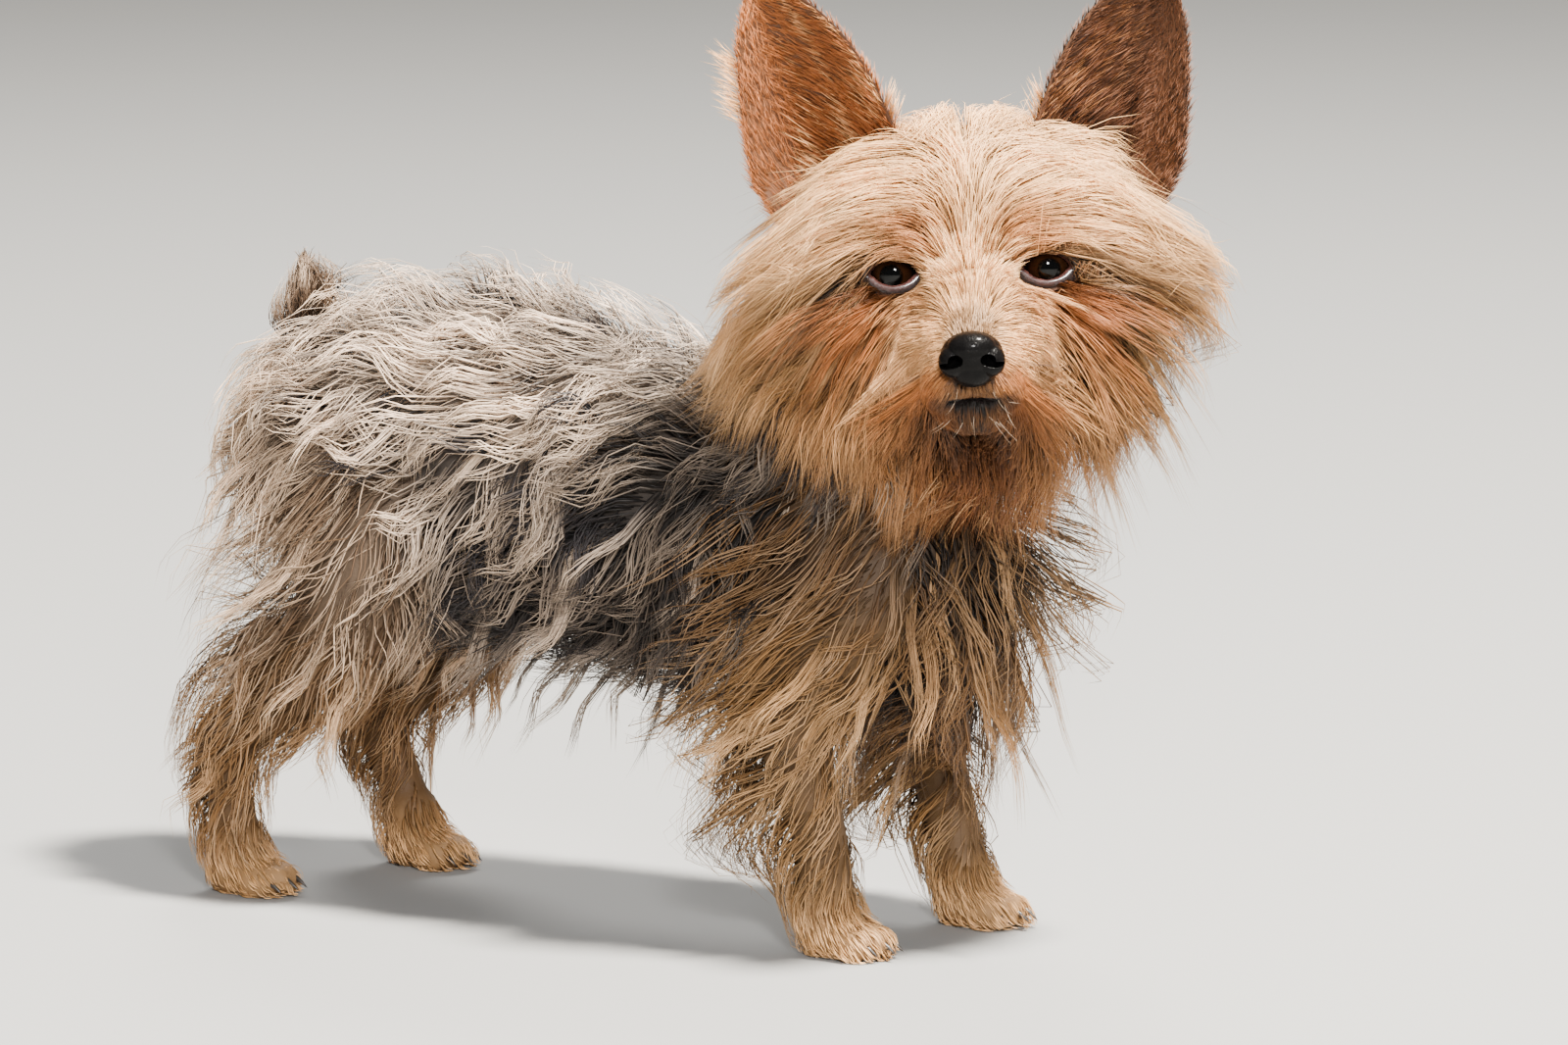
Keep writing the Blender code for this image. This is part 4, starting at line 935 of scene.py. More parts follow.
def earMarksAndShade(side, rise, across, inside, tuft, edge, flag, picks):
    count = len(rise)
    streak = field(np.stack([across * 30, rise * 12, rise * 0 + side], 1), 6, 3)  # cream comes in streaks
    cream = streak + picks.uniform(-0.4, 0.4, count) > 1 - 2 * earHair["cream"]
    pale = np.where(tuft, (1 - 0.6 * rise) * cream, 0.03)
    pale = pale * picks.uniform(0.4, 1, count) * earHair["creamShare"][side]
    pale = np.where(flag, 0.8, pale)
    # painted shade: darker deep in the cup, and the left ear darker than the right
    hollowShade = inside * smoothStep(-0.7, 0.3, across) * smoothStep(0.9, 0.15, rise)
    dark = earHair["dark"][side] + earHair["hollowShade"][side] * hollowShade
    dark = dark + 0.4 * (edge & (across < 0)) * smoothStep(0.2, 0.6, rise) + picks.uniform(0, 0.22, count)
    dark = np.clip(dark - pale, 0, 1)
    return np.clip(np.stack([0.95 - pale * 0.8, pale, dark, np.zeros(count)], 1), 0, 1)


def growEar(name, side, seed):
    picks = np.random.default_rng(seed)
    count = earHair["strands"]
    inside = picks.random(count) < earHair["inside"]
    rise = picks.uniform(-0.25, 0.985, count)
    rise = np.where(picks.random(count) < 0.35 * np.maximum(rise, 0), rise * picks.random(count), rise)
    across = picks.uniform(-1, 1, count)
    edge = picks.random(count) < earHair["edges"]
    across[edge] = np.sign(across[edge]) * picks.uniform(0.93, 1.0, edge.sum())
    depth = np.where(inside, earShape["front"], earShape["back"])
    roots = earPlace(side, rise, across, depth)
    step = 0.01
    upWay = unit(earPlace(side, rise + step, across, depth) - roots)
    wideWay = unit(earPlace(side, rise, across + step, depth) - roots)
    outWay = unit(earPlace(side, rise, across, depth + step) - roots) * np.where(inside, -1, 1)[:, None]
    # across runs from the inner edge, -1, to the outer, 1
    tuft = inside & (across < 0.25)
    sideways = np.where(tuft, 0.8, 0.3 * across) + picks.normal(0, 0.14, count)
    sideways += edge * np.sign(across) * 0.2
    lift = np.where(tuft, 0.42, 0.2) * picks.uniform(0.6, 1.4, count)
    length = np.where(tuft, earHair["wisp"] - 7 * np.maximum(rise, 0), earHair["short"])
    length = np.where(edge, earHair["edge"], length) * picks.uniform(0.6, 1.25, count)
    length = length * (1 - 0.45 * np.maximum(rise, 0))
    # a pale flag of hair on the right ear's outer edge, and some at the foot of both inner edges
    flag = edge & (across > 0) & (np.abs(rise - 0.48) < 0.16) & (side < 0)
    flag |= edge & (across < 0) & (rise < 0.15) & (picks.random(count) < 0.5)
    length = np.where(flag, earHair["flag"], length) * np.where(flag, picks.uniform(0.6, 1.1, count), 1)
    sideways = np.where(flag, np.sign(across) * picks.uniform(0.8, 1.6, count), sideways)
    run = unit(upWay + wideWay * sideways[:, None] + outWay * lift[:, None])
    steps = np.linspace(0, 1, earHair["segments"] + 1)[None, :, None]
    bend = picks.normal(0, 0.9, (count, 1, 1))
    droop = (lift * length * 0.35)[:, None, None]
    paths = roots[:, None] + run[:, None] * length[:, None, None] * steps
    paths = paths + (wideWay[:, None] * bend - outWay[:, None] * droop) * steps**2
    paths[:, 0] -= outWay * 0.5
    facing = np.repeat(outWay[:, None], steps.shape[1], 1)
    marks = earMarksAndShade(side, rise, across, inside, tuft, edge, flag, picks)
    uv = np.stack([(across + 1) / 4 + np.where(inside, 0, 0.5), (rise + 0.26) * 0.78], 1) * 0.98 + 0.005
    tones = np.stack([picks.random(count), picks.random(count), np.ones(count)], 1)
    widths = earHair["width"] * picks.uniform(0.7, 1.3, count)
    return strandMesh(name, paths, facing, widths, uv, marks, tones)


# Eyes, lids, lips, nose and claws

def facingOut(obj):
    bm = bmesh.new()
    bm.from_mesh(obj.data)
    bmesh.ops.recalc_face_normals(bm, faces=bm.faces)
    bm.to_mesh(obj.data)
    bm.free()
    return obj


eyeball = {"rows": 40, "around": 56, "flatter": 0.25, "cornea": 0.45, "corneaTurns": (0.85, 0.35)}


def makeEye(name, side):
    rows, around = eyeball["rows"], eyeball["around"]
    centre = np.array([eyeShape["side"] * side, eyeShape["back"], 0.0])
    white = eyeShape["radius"] - eyeball["flatter"]
    gazeWay = unit(np.array([0.1 * side, -1, -0.02]))
    across = unit(np.cross(gazeWay, [0, 0, 1]))
    upWay = np.cross(across, gazeWay)
    places, turns = [], []
    for i in range(1, rows):
        turn = math.pi * i / rows
        radius = white + eyeball["cornea"] * float(smoothStep(*eyeball["corneaTurns"], turn))
        for k in range(around):
            spin = math.tau * k / around
            ringWay = across * math.cos(spin) + upWay * math.sin(spin)
            places.append(centre + (gazeWay * math.cos(turn) + ringWay * math.sin(turn)) * radius)
            turns.append(turn)
    places += [centre + gazeWay * (eyeShape["radius"] + 0.2), centre - gazeWay * white]
    turns += [0.0, math.pi]
    faces = [(i * around + k, i * around + (k + 1) % around, (i + 1) * around + (k + 1) % around,
              (i + 1) * around + k) for i in range(rows - 2) for k in range(around)]
    faces += [(len(places) - 2, (k + 1) % around, k) for k in range(around)]
    start = (rows - 2) * around
    faces += [(len(places) - 1, start + k, start + (k + 1) % around) for k in range(around)]
    eye = meshObject(name, fromHead(places), faces)
    turned = np.array(turns)
    setAttribute(eye.data, "gaze", np.stack([turned / math.pi] * 3 + [turned * 0 + 1], 1))
    return facingOut(eye)


# Rows run outwards from the free edge of the lid: margin above, margin below, distance from the
# middle of the eye
lidShape = {"around": 72, "wall": 0.8, "wider": 1.22,
            "rows": [(-0.25, -1.5, 8.1), (0.1, -1.0, 8.55), (0.6, -0.2, 8.95), (1.2, 0.8, 9.5),
                     (2.2, 2.2, 10.0), (4.2, 4.2, 10.3), (5.8, 5.8, 9.6)]}


def lidPlaces(x, z, radius, sides):  # places on the round of a lid, at x and z from the eye's middle
    round2 = 1 - (x / (lidShape["wider"] * radius)) ** 2 - (z / radius) ** 2
    y = eyeShape["back"] - radius * np.sqrt(np.maximum(round2, 0.02))
    return np.stack([eyeShape["side"] * sides + x, y, z], 1)


def makeLids(name, side):
    around = lidShape["around"]
    turn = np.arange(around) * math.tau / around
    upper = smoothStep(-0.3, 0.3, np.sin(turn))
    layers = []
    for above, below, radius in lidShape["rows"]:
        margin = below + (above - below) * upper
        x, z = almond(turn, margin)
        fold = 0.35 * upper * np.clip(above, 0, 1.5)
        layers.append(lidPlaces(x, z, radius + fold, side))
    inner = [layer + np.array([0, lidShape["wall"], 0]) for layer in layers[1:]]
    rings = layers + inner[::-1]
    total = len(rings)
    faces = [(r * around + k, r * around + (k + 1) % around, ((r + 1) % total) * around + (k + 1) % around,
              ((r + 1) % total) * around + k)
             for r in range(total) for k in range(around)]
    lids = facingOut(meshObject(name, fromHead(np.concatenate(rings)), faces))
    rim = np.concatenate([np.full(around, max(1 - row / 4, 0)) for row in range(len(layers))]
                         + [np.zeros(around)] * len(inner))
    low = np.tile(1 - upper, total)
    setAttribute(lids.data, "lid", np.stack([rim, low, low, rim * 0 + 1], 1))
    return lids


mouth = {"height": -35.2, "dip": 2.8, "turn": 62, "stations": 61, "lip": 0.85, "sides": 10}


def makeLips(name):
    bm, sides = bmesh.new(), mouth["sides"]
    for lift in (1, -1):
        rings = []
        for k in range(mouth["stations"]):
            share = 2 * k / (mouth["stations"] - 1) - 1
            turn = math.radians(mouth["turn"] * share)
            high = mouth["height"] - mouth["dip"] * math.sin(math.pi * abs(share))
            high += lift * (mouth["lip"] - 0.15)
            high += -0.8 * math.exp(-(share / 0.06) ** 2) * (lift > 0)
            outside = Vector(fromHead([50 * math.sin(turn), -50 * math.cos(turn), high]))
            way = (Vector(fromHead([0, 0, high])) - outside).normalized()
            place = skinTree.ray_cast(outside, way)[0] or outside
            radius = mouth["lip"] * (1 - 0.6 * share**2) * (0.85 if lift < 0 else 1)
            onward = Vector(headTurn @ np.array([math.cos(turn), math.sin(turn), 0]))
            up = onward.cross(way).normalized()
            rings.append([bm.verts.new(place + way * 0.5 + (way * math.cos(t) + up * math.sin(t)) * radius)
                          for t in (math.tau * j / sides for j in range(sides))])
        for low, far in zip(rings, rings[1:]):
            for j in range(sides):
                bm.faces.new((low[j], low[(j + 1) % sides], far[(j + 1) % sides], far[j]))
        bm.faces.new(rings[0])
        bm.faces.new(rings[-1])
    bmesh.ops.recalc_face_normals(bm, faces=bm.faces)
    places = np.array([v.co for v in bm.verts])
    bm.verts.index_update()
    faces = [[v.index for v in f.verts] for f in bm.faces]
    bm.free()
    return meshObject(name, places, faces)


# Centre and radii of each form of the nose: pad and wings, and what is cut out of them
noseShape = {"pad": [((0, -29.5, -21.0), (9.4, 7.2, 7.0)), ((0, -28.8, -25.2), (7.0, 6.4, 5.8)),
                     ((0, -32.2, -18.8), (7.4, 4.9, 5.0))],
             "wings": ((5.8, -32.0, -22.6), (4.2, 4.4, 4.9)), "hole": ((4.9, -38, -22.2), (2.4, 8.5, 2.0)),
             "slit": ((7.6, -37, -23.6), (3.2, 5.6, 1.0)), "groove": ((0, -38, -27.5), (0.35, 2.2, 6.0)),
             "voxel": 0.32, "ease": 5}


def makeNose(name):
    bm = bmesh.new()
    for centre, radii in noseShape["pad"]:
        addEllipsoid(bm, centre, radii, 4, True)
    holes = []
    for side in (1, -1):
        (x, y, z), radii = noseShape["wings"]
        addEllipsoid(bm, (x * side, y, z), radii, 4, True)
        for key in ("hole", "slit"):
            (x, y, z), radii = noseShape[key]
            holes.append(solidOf(lambda b, p=(x * side, y, z), r=radii: addEllipsoid(b, p, r, 3, True)))
    holes.append(solidOf(lambda b: addEllipsoid(b, *noseShape["groove"], 3, True)))
    places, triangles = drawnSkin(bm, noseShape["voxel"], noseShape["ease"], holes)
    return meshObject(name, places, triangles.tolist())


clawShape = {"length": 7.5, "radius": 1.35, "rows": 8, "sides": 10, "front": 2.8, "high": 1, "curl": 3.6}


def makeClaws(name, leg):
    places, faces = [], []
    x, y = pawMiddle(leg)
    rows, sides = clawShape["rows"], clawShape["sides"]
    for tx, ty, tz in toes:
        start = len(places)
        for i in range(rows):
            t = i / rows
            wide = clawShape["radius"] * (1 - t) ** 0.7
            ahead = clawShape["front"] + clawShape["length"] * t
            centre = np.array([x + tx, y + ty - ahead, tz + clawShape["high"] - clawShape["curl"] * t * t])
            places += [centre + [wide * math.cos(s), 0, 1.2 * wide * math.sin(s)]
                       for s in (math.tau * k / sides for k in range(sides))]
        ahead = clawShape["front"] + clawShape["length"]
        places.append(np.array([x + tx, y + ty - ahead, tz + clawShape["high"] - clawShape["curl"]]))
        tip = len(places) - 1
        for i in range(rows - 1):
            for k in range(sides):
                a, b = start + i * sides + k, start + i * sides + (k + 1) % sides
                faces.append((a, b, b + sides, a + sides))
        end = start + (rows - 1) * sides
        faces += [(end + k, end + (k + 1) % sides, tip) for k in range(sides)]
        faces.append(tuple(start + k for k in range(sides)))
    places = np.array(places)
    places[:, 2] = np.maximum(places[:, 2], 0.15)
    return facingOut(meshObject(name, places, faces))


# Lashes, whiskers, lip and chin hairs: a Geometry Nodes tree sets one tapered hair on every root

looseHairs = {
    "lashes": {"count": 15, "length": 4.4, "thickness": 0.07, "bend": 1.2, "seed": 3, "dark": True},
    "whiskers": {"count": 6, "length": 21, "thickness": 0.045, "bend": 4.0, "seed": 5, "dark": True},
    "lipHairs": {"count": 7, "length": 3.6, "thickness": 0.07, "bend": 0.8, "seed": 7, "dark": False},
    "chinHairs": {"count": 16, "length": 9.5, "thickness": 0.07, "bend": 2.6, "seed": 9, "dark": False},
}


# Where the hairs of a kind are guessed to root, then the ways they point, as ranges of x, y and z
looseRanges = {
    "whiskers": (((8, 13), (-24, -14), (-31, -24)), ((0.9, 0.9), (-0.4, 0.05), (-0.55, 0.05))),
    "lipHairs": (((-7, 7), (-30, -30), (-33.5, -31.5)), ((0.05, 0.05), (-0.6, -0.2), (-1, -1))),
    "chinHairs": (((-10, 10), (-26, -18), (-44, -39)), ((0.06, 0.06), (-0.9, -0.3), (-1, -1))),
}


def looseRoots(name, count, picks):  # places on the head and the ways the hairs point
    sides = picks.choice((-1, 1), count)
    if name == "lashes":
        turn = np.tile(np.linspace(0.12, 0.88, count) * math.pi, 2)
        sides = np.repeat((-1, 1), count)
        x, z = almond(turn, 0.5)
        aims = np.stack([x / 9 + 0.35 * sides, x * 0 - 1, 0.35 + 0 * x], 1)
        return lidPlaces(x, z, 8.9, sides), aims + picks.normal(0, 0.12, (2 * count, 3))
    rootRanges, aimRanges = looseRanges[name]

    def drawn(ranges):
        return [picks.uniform(low, high, count) if high > low else np.full(count, float(low))
                for low, high in ranges]

    guess, aims = np.stack(drawn(rootRanges), 1), np.stack(drawn(aimRanges), 1)
    if name == "whiskers":
        guess[:, 0] *= sides
        aims[:, 0] *= sides
    else:
        aims[:, 0] *= guess[:, 0]
    if name == "chinHairs":
        aims += picks.normal(0, 0.25, (count, 3))
    found = [skinTree.find_nearest(p)[0] for p in fromHead(guess).tolist()]
    return toHead(np.array([tuple(p) for p in found])), aims


def looseHairTree():
    tree = bpy.data.node_groups.new("looseHairTree", "GeometryNodeTree")
    tree.interface.new_socket("Geometry", in_out="INPUT", socket_type="NodeSocketGeometry")
    for label, kind in (("Length", "Float"), ("Thickness", "Float"), ("Bend", "Float"), ("Seed", "Int"),
                        ("Finish", "Material")):
        tree.interface.new_socket(label, in_out="INPUT", socket_type="NodeSocket" + kind)
    tree.interface.new_socket("Geometry", in_out="OUTPUT", socket_type="NodeSocketGeometry")

    def add(kind, settings=None, inputs=None):
        node = tree.nodes.new(kind)
        for key, value in (settings or {}).items():
            setattr(node, key, value)
        for key, value in (inputs or {}).items():
            if isinstance(value, bpy.types.NodeSocket):
                tree.links.new(value, node.inputs[key])
            else:
                node.inputs[key].default_value = value
        return node

    def maths(operation, first, second):
        return add("ShaderNodeMath", {"operation": operation}, {0: first, 1: second}).outputs[0]

    given = add("NodeGroupInput").outputs
    line = add("GeometryNodeCurvePrimitiveLine", None, {"Start": (0, 0, 0), "End": (0, 0, 1)})
    fine = add("GeometryNodeResampleCurve", None, {"Curve": line.outputs["Curve"], "Count": 7})
    share = add("GeometryNodeSplineParameter").outputs["Factor"]
    sideways = maths("MULTIPLY", given["Bend"], maths("POWER", share, 2.0))
    lean = add("ShaderNodeCombineXYZ", None, {"X": sideways}).outputs[0]
    bent = add("GeometryNodeSetPosition", None, {"Geometry": fine.outputs["Curve"], "Offset": lean})
    taper = maths("POWER", maths("SUBTRACT", 1.02, share), 0.8)
    sized = add("GeometryNodeSetCurveRadius", None, {"Curve": bent.outputs[0], "Radius": taper})
    ring = add("GeometryNodeCurvePrimitiveCircle", None, {"Resolution": 5, "Radius": given["Thickness"]})
    hairArgs = {"Curve": sized.outputs[0], "Profile Curve": ring.outputs["Curve"], "Fill Caps": True}
    hair = add("GeometryNodeCurveToMesh", None, hairArgs)
    if "Scale" in hair.inputs:  # newer trees take the radius here
        tree.links.new(taper, hair.inputs["Scale"])
    aim = add("GeometryNodeInputNamedAttribute", {"data_type": "FLOAT_VECTOR"}, {"Name": "aim"})
    turned = add("FunctionNodeAlignRotationToVector", {"axis": "Z"}, {"Vector": aim.outputs["Attribute"]})
    varied = add("FunctionNodeRandomValue", {"data_type": "FLOAT"}, {"Seed": given["Seed"]})
    ends = [socket for socket in varied.inputs if socket.type == "VALUE" and socket.enabled][:2]
    ends[0].default_value, ends[1].default_value = 0.6, 1.2
    chance = next(socket for socket in varied.outputs if socket.type == "VALUE")
    tall = maths("MULTIPLY", given["Length"], chance)
    size = add("ShaderNodeCombineXYZ", None, {"X": 1.0, "Y": 1.0, "Z": tall}).outputs[0]
    placed = add("GeometryNodeInstanceOnPoints", None, {
        "Points": given["Geometry"], "Instance": hair.outputs[0],
        "Rotation": turned.outputs[0], "Scale": size})
    real = add("GeometryNodeRealizeInstances", None, {"Geometry": placed.outputs[0]})
    dressed = add("GeometryNodeSetMaterial", None, {"Geometry": real.outputs[0], "Material": given["Finish"]})
    add("NodeGroupOutput", None, {0: dressed.outputs[0]})
    return tree


def makeLooseHairs(name, settings, tree, material):
    roots, aims = looseRoots(name, settings["count"], np.random.default_rng(settings["seed"]))
    mesh = bpy.data.meshes.new(name + "Roots")
    mesh.from_pydata([tuple(p) for p in toFrame(fromHead(roots))], [], [])
    mesh.attributes.new("aim", "FLOAT_VECTOR", "POINT").data.foreach_set(
        "vector", (unit(aims) @ headTurn.T).astype(np.float32).ravel())
    holder = bpy.data.objects.new(name, mesh)
    bpy.context.scene.collection.objects.link(holder)
    grow = holder.modifiers.new("Loose hairs", "NODES")
    grow.node_group = tree
    values = {"Length": settings["length"] * 0.001, "Thickness": settings["thickness"] * 0.001,
              "Bend": settings["bend"] * 0.001, "Seed": settings["seed"], "Finish": material}
    for socket in tree.interface.items_tree:
        if socket.name in values:
            grow[socket.identifier] = values[socket.name]
    grown = holder.evaluated_get(bpy.context.evaluated_depsgraph_get())
    made = bpy.data.meshes.new_from_object(grown)
    holder.modifiers.remove(grow)
    holder.data = made
    return facingOut(holder)


# Finishes. A Wire wraps a socket, so that sums on it add their Math nodes

class Wire:
    def __init__(self, finish, socket):
        self.finish, self.socket = finish, socket

    def sum(self, operation, first, second):
        return self.finish.node("ShaderNodeMath", {"operation": operation}, {0: first, 1: second})

    def __add__(self, other):
        return self.sum("ADD", self, other)

    def __radd__(self, other):
        return self.sum("ADD", other, self)

    def __sub__(self, other):
        return self.sum("SUBTRACT", self, other)

    def __rsub__(self, other):
        return self.sum("SUBTRACT", other, self)

    def __mul__(self, other):
        return self.sum("MULTIPLY", self, other)

    def __rmul__(self, other):
        return self.sum("MULTIPLY", other, self)


class Finish:
    def __init__(self, name, roughness, constants=None):
        self.material = bpy.data.materials.new(name)
        self.material.use_nodes = True
        self.tree = self.material.node_tree
        self.shader = self.tree.nodes["Principled BSDF"]
        for key, value in {"Roughness": roughness, **(constants or {})}.items():
            self.shader.inputs[key].default_value = value

    def node(self, kind, settings=None, inputs=None, output=0):
        node = self.tree.nodes.new(kind)
        for key, value in (settings or {}).items():
            if key == "stops":
                ramp = node.color_ramp.elements
                while len(ramp) < len(value):
                    ramp.new(0.5)
                for element, (position, colour) in zip(ramp, value):
                    element.position, element.color = position, (*colour, 1)
            else:
                setattr(node, key, value)
        for key, value in (inputs or {}).items():
            if isinstance(value, Wire):
                self.tree.links.new(value.socket, node.inputs[key])
            elif isinstance(value, tuple) and node.inputs[key].type == "RGBA":
                node.inputs[key].default_value = (*value, 1)
            else:
                node.inputs[key].default_value = value
        return Wire(self, node.outputs[output])

    def feed(self, name, wire):
        self.tree.links.new(wire.socket, self.shader.inputs[name])

    def spots(self):
        return self.node("ShaderNodeTexCoord", output=3)

    def grain(self, scale, detail=3.0):
        inputs = {"Vector": self.spots(), "Scale": scale, "Detail": detail}
        return self.node("ShaderNodeTexNoise", None, inputs)

    def bump(self, height, distance, strength):
        inputs = {"Height": height, "Distance": distance, "Strength": strength}
        self.feed("Normal", self.node("ShaderNodeBump", None, inputs))

    def mix(self, factor, first, second):
        return self.node("ShaderNodeMix", {"data_type": "RGBA"}, {0: factor, 6: first, 7: second}, 2)

    def scaled(self, colour, factor):
        return self.node("ShaderNodeVectorMath", {"operation": "SCALE"}, {0: colour, "Scale": factor})

    def clamped(self, value):
        return self.node("ShaderNodeClamp", None, {0: value})

    def channels(self, attribute):  # three colour channels and alpha
        read = self.tree.nodes.new("ShaderNodeAttribute")
        read.attribute_name = attribute
        split = self.tree.nodes.new("ShaderNodeSeparateColor")
        self.tree.links.new(read.outputs["Color"], split.inputs[0])
        return [Wire(self, split.outputs[k]) for k in range(3)] + [Wire(self, read.outputs["Alpha"])]


coatColours = {"tan": (0.46, 0.21, 0.05), "cream": (1.0, 0.59, 0.27), "rust": (0.42, 0.12, 0.026),
               "steelDark": (0.026, 0.023, 0.026), "steelPale": (0.88, 0.67, 0.50),
               "darkAndShade": (0.012, 0.008, 0.006), "tip": (1.0, 0.68, 0.38), "skinShade": 0.42}


def coatColour(finish, onSkin):
    rust, pale, dark, steel = finish.channels("coatMarksAndShade")
    if onSkin:
        alongHair, tone, lock = 0.15, 0.5, 0.5
    else:
        alongHair, tone, lock, _ = finish.channels("strand")
    mix, clamped = finish.mix, finish.clamped
    golden = clamped(pale * 1.0 + (lock * 0.6 + tone * 0.3 - 0.38))
    warm = mix(golden, coatColours["tan"], coatColours["cream"])
    warm = mix(clamped(rust), warm, coatColours["rust"])
    silver = clamped(pale * 0.85 + (lock * 1.0 + tone * 0.2 + alongHair * 0.6 - 0.95))
    grey = mix(silver, coatColours["steelDark"], coatColours["steelPale"])
    base = mix(clamped(steel), warm, grey)
    # the dark share, both real dark colour and painted shade, goes towards near black
    base = mix(clamped(dark * (1.1 if onSkin else 1.15 - 0.5 * alongHair)), base, coatColours["darkAndShade"])
    # painted shade: the skin between the hairs is a darker copy of the coat's colour
    if onSkin:
        return finish.scaled(base, coatColours["skinShade"])
    tipped = mix(clamped((alongHair - 0.55) * 0.9), base, coatColours["tip"])
    tipped = mix(clamped(steel * 0.6 + dark * 0.8 + rust * 0.6), tipped, base)
    # painted shade: each hair darker towards its root, with a random tone per hair
    return finish.scaled(tipped, (0.4 + 0.6 * clamped(alongHair * 2.0)) * (0.8 + 0.35 * tone))


def makeCoatFinish():
    finish = Finish("dogCoat", 0.48, {"Specular IOR Level": 0.28})
    finish.feed("Base Color", coatColour(finish, False))
    return finish.material


def makeSkinFinish():
    finish = Finish("dogSkin", 0.65, {"Specular IOR Level": 0.3})
    finish.feed("Base Color", coatColour(finish, True))
    finish.bump(finish.grain(900.0), 0.0004, 0.6)
    return finish.material


def makeEyeFinish():
    finish = Finish("wetEye", 0.3, {"Coat Weight": 0.4, "Coat Roughness": 0.03, "Specular IOR Level": 0.0})
    gaze = finish.channels("gaze")[0]
    fibres = finish.grain(1400.0, 2.0)
    finish.feed("Base Color", finish.node("ShaderNodeValToRGB", {"stops": [
        (0.0, (0.001, 0.001, 0.001)), (0.13, (0.001, 0.001, 0.001)), (0.16, (0.022, 0.008, 0.003)),
        (0.26, (0.016, 0.006, 0.003)), (0.31, (0.004, 0.002, 0.002)), (0.4, (0.02, 0.012, 0.01))]},
        {0: gaze + (fibres - 0.5) * 0.02}))
    return finish.material


def makeLidFinish():
    wet = {"Coat Weight": 0.5, "Coat Roughness": 0.12, "Specular IOR Level": 0.2}
    finish = Finish("eyelidSkin", 0.35, wet)
    rim, low, _, _ = finish.channels("lid")
    blotch = finish.grain(500.0)
    skin = finish.mix(blotch, (0.010, 0.006, 0.005), (0.035, 0.016, 0.012))
    pink = finish.mix(blotch, (0.03, 0.010, 0.008), (0.32, 0.12, 0.10))
    finish.feed("Base Color", finish.mix(finish.clamped((rim - 0.3) * 1.6 * (0.2 + 0.8 * low)), skin, pink))
    finish.bump(finish.grain(1500.0, 4.0), 0.0003, 0.6)
    return finish.material


def makeNoseFinish():
    moist = {"Coat Weight": 0.09, "Coat Roughness": 0.14, "Specular IOR Level": 0.03}
    finish = Finish("noseLeather", 0.3, moist)
    pebbles = finish.node("ShaderNodeTexVoronoi", {"feature": "DISTANCE_TO_EDGE"},
                          {"Vector": finish.spots(), "Scale": 1250.0})
    blotch = finish.grain(350.0, 2.0)
    finish.feed("Base Color", finish.mix(blotch, (0.0012, 0.0012, 0.0013), (0.004, 0.0036, 0.0036)))
    finish.feed("Roughness", 0.22 + 0.25 * blotch)
    finish.bump(finish.clamped(pebbles * 5), 0.00018, 0.35)
    return finish.material


def makePlainFinish(name, dark, pale, roughness, scale, coat=0.0, gloss=0.4):
    shine = {"Coat Weight": coat, "Coat Roughness": 0.25, "Specular IOR Level": gloss}
    finish = Finish(name, roughness, shine)
    blotch = finish.grain(scale)
    finish.feed("Base Color", finish.mix(blotch, dark, pale))
    finish.bump(blotch, 0.0003, 0.4)
    return finish.material


def finished(obj, material, replaced=()):
    obj.data.materials.clear()
    obj.data.materials.append(material)
    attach(obj, "root")
    if replaced:
        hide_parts(*replaced)
    return obj


print("finishes")
coatFinish, skinFinish = makeCoatFinish(), makeSkinFinish()
eyeFinish, lidFinish, noseFinish = makeEyeFinish(), makeLidFinish(), makeNoseFinish()
lipFinish = makePlainFinish("lipSkin", (0.002, 0.0015, 0.0015), (0.007, 0.004, 0.004), 0.75, 700.0, 0.0, 0.06)
clawFinish = makePlainFinish("clawHorn", (0.012, 0.009, 0.008), (0.05, 0.038, 0.03), 0.3, 800.0, 0.3)
paleHair = makePlainFinish("paleHair", (0.55, 0.40, 0.27), (0.85, 0.68, 0.5), 0.4, 300.0)
darkHair = makePlainFinish("darkHair", (0.02, 0.012, 0.01), (0.05, 0.03, 0.02), 0.4, 300.0)

print("skin")
bodySkin = meshObject("bodySkin", skinPlaces, skinTriangles.tolist())
marks = np.zeros((len(skinPlaces), 4))
for index, part in enumerate(stretches):
    chosen = skinPart == index
    marks[chosen] = readCoat(part, skinPlaces[chosen], pointNormals[chosen])[2]
setAttribute(bodySkin.data, "coatMarksAndShade", marks)
fewer = bodySkin.modifiers.new("Fewer faces", "DECIMATE")
fewer.ratio = skinShape["drawnShare"]
thinned = bodySkin.evaluated_get(bpy.context.evaluated_depsgraph_get())
drawnMesh = bpy.data.meshes.new_from_object(thinned)
bodySkin.modifiers.clear()
bodySkin.data = drawnMesh
print("drawn skin", len(drawnMesh.polygons), "faces")
paws = [name.replace("leg", "paw") for name in legs]
finished(bodySkin, skinFinish, [*parts, "ear_left", "ear_right", *paws])

print("coat")
for seed, (name, settings) in enumerate(coats.items(), 11):
    finished(growCoat(name, settings, seed), coatFinish)
for seed, (side, word) in enumerate(((1, "Left"), (-1, "Right")), 41):
    finished(growEar("earCoat" + word, side, seed), coatFinish)
for seed, (name, settings) in enumerate(lockCoats.items(), 51):
    finished(growLocks(name, settings, seed), coatFinish)

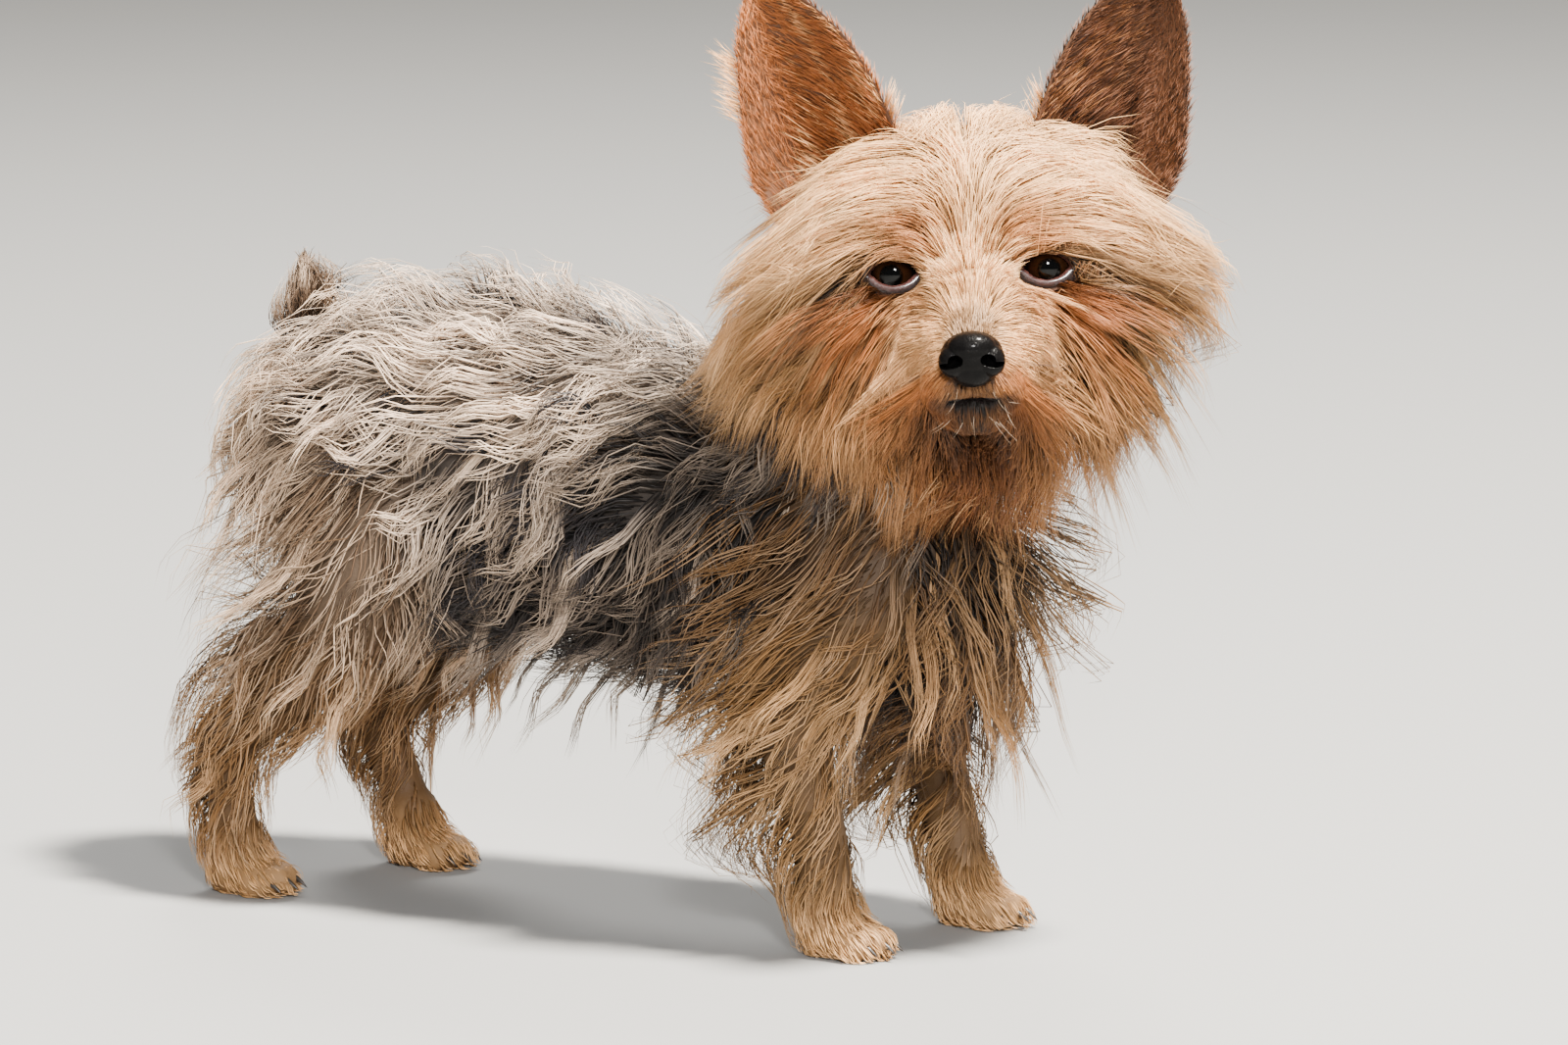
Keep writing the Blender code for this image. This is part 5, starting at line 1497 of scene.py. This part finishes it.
print("eyes, nose, lips and claws")
for side, word in ((1, "Left"), (-1, "Right")):
    finished(makeEye("eyeball" + word, side), eyeFinish, ["eye_" + word.lower()])
    finished(makeLids("eyelids" + word, side), lidFinish)
finished(makeNose("nosePad"), noseFinish, ["nose"])
finished(makeLips("lips"), lipFinish)
hairTree = looseHairTree()
for name, settings in looseHairs.items():
    material = darkHair if settings["dark"] else paleHair
    finished(makeLooseHairs(name, settings, hairTree, material), material)
for leg in legs:
    paw = leg.replace("leg", "paw")
    words = paw.split("_")
    piece = makeClaws("claws" + words[0].capitalize() + words[2].capitalize(), leg)
    finished(piece, clawFinish, [f"claw_{paw}_{k}" for k in (1, 2, 3, 4)])


# Camera, floor and light

view = {"azimuth": -62, "height": 9, "distance": 2600, "focalPixels": 8840, "imageWidth": 1600,
        "eyePixel": (990, 277), "middlePixel": (800, 533)}


def makeCamera():
    turn, rise = math.radians(view["azimuth"]), math.radians(view["height"])
    back = Vector((math.sin(turn) * math.cos(rise), -math.cos(turn) * math.cos(rise), math.sin(rise)))
    right = Vector((math.cos(turn), math.sin(turn), 0))
    up = back.cross(right)
    perPixel = view["distance"] / view["focalPixels"]
    place = Vector(headPose["eyeMid"]) + back * view["distance"]
    place -= right * (view["eyePixel"][0] - view["middlePixel"][0]) * perPixel
    place -= up * (view["middlePixel"][1] - view["eyePixel"][1]) * perPixel
    made = bpy.data.cameras.new("camera")
    made.sensor_width = 36
    made.lens = view["focalPixels"] * made.sensor_width / view["imageWidth"]
    holder = bpy.data.objects.new("camera", made)
    turned = Matrix((right, up, back)).transposed().to_4x4()
    holder.matrix_world = Matrix.Translation(toFrame(place)) @ turned
    bpy.context.scene.collection.objects.link(holder)
    bpy.context.scene.camera = holder


# Place, width, power and colour of each lamp
lamps = {"key": ((-0.1, -1.05, 2.6), 0.36, 620, (1.0, 0.94, 0.85)),
         "rim": ((1.6, 0.9, 1.9), 0.9, 60, (1.0, 0.97, 0.92)),
         "glint": ((-1.9, -1.25, 1.05), 0.34, 84, (1.0, 0.98, 0.95))}
studio = {"aim": (0, -0.03, 0.15), "sky": (0.95, 0.97, 1.0, 1), "skyStrength": 0.26, "floorSize": 60,
          "floor": (0.28, 0.28, 0.276, 1), "floorRoughness": 0.8}


def makeLamp(name, place, size, power, colour):
    lamp = bpy.data.lights.new(name, "AREA")
    lamp.shape, lamp.size, lamp.energy, lamp.color = "DISK", size, power, colour
    holder = bpy.data.objects.new(name, lamp)
    aim = Vector(studio["aim"]) - Vector(place)
    holder.matrix_world = Matrix.Translation(place) @ aim.to_track_quat("-Z", "Y").to_matrix().to_4x4()
    bpy.context.scene.collection.objects.link(holder)


print("camera, light and floor")
makeCamera()
for name, lampSettings in lamps.items():
    makeLamp(name, *lampSettings)
world = bpy.data.worlds.new("studio")
world.use_nodes = True
sky = world.node_tree.nodes["Background"].inputs
sky["Color"].default_value = studio["sky"]
sky["Strength"].default_value = studio["skyStrength"]
bpy.context.scene.world = world
bpy.ops.mesh.primitive_plane_add(size=studio["floorSize"])
floor = bpy.context.object
floor.name = "floor"
floorFinish = Finish("paleFloor", studio["floorRoughness"], {"Base Color": studio["floor"]})
floor.data.materials.append(floorFinish.material)
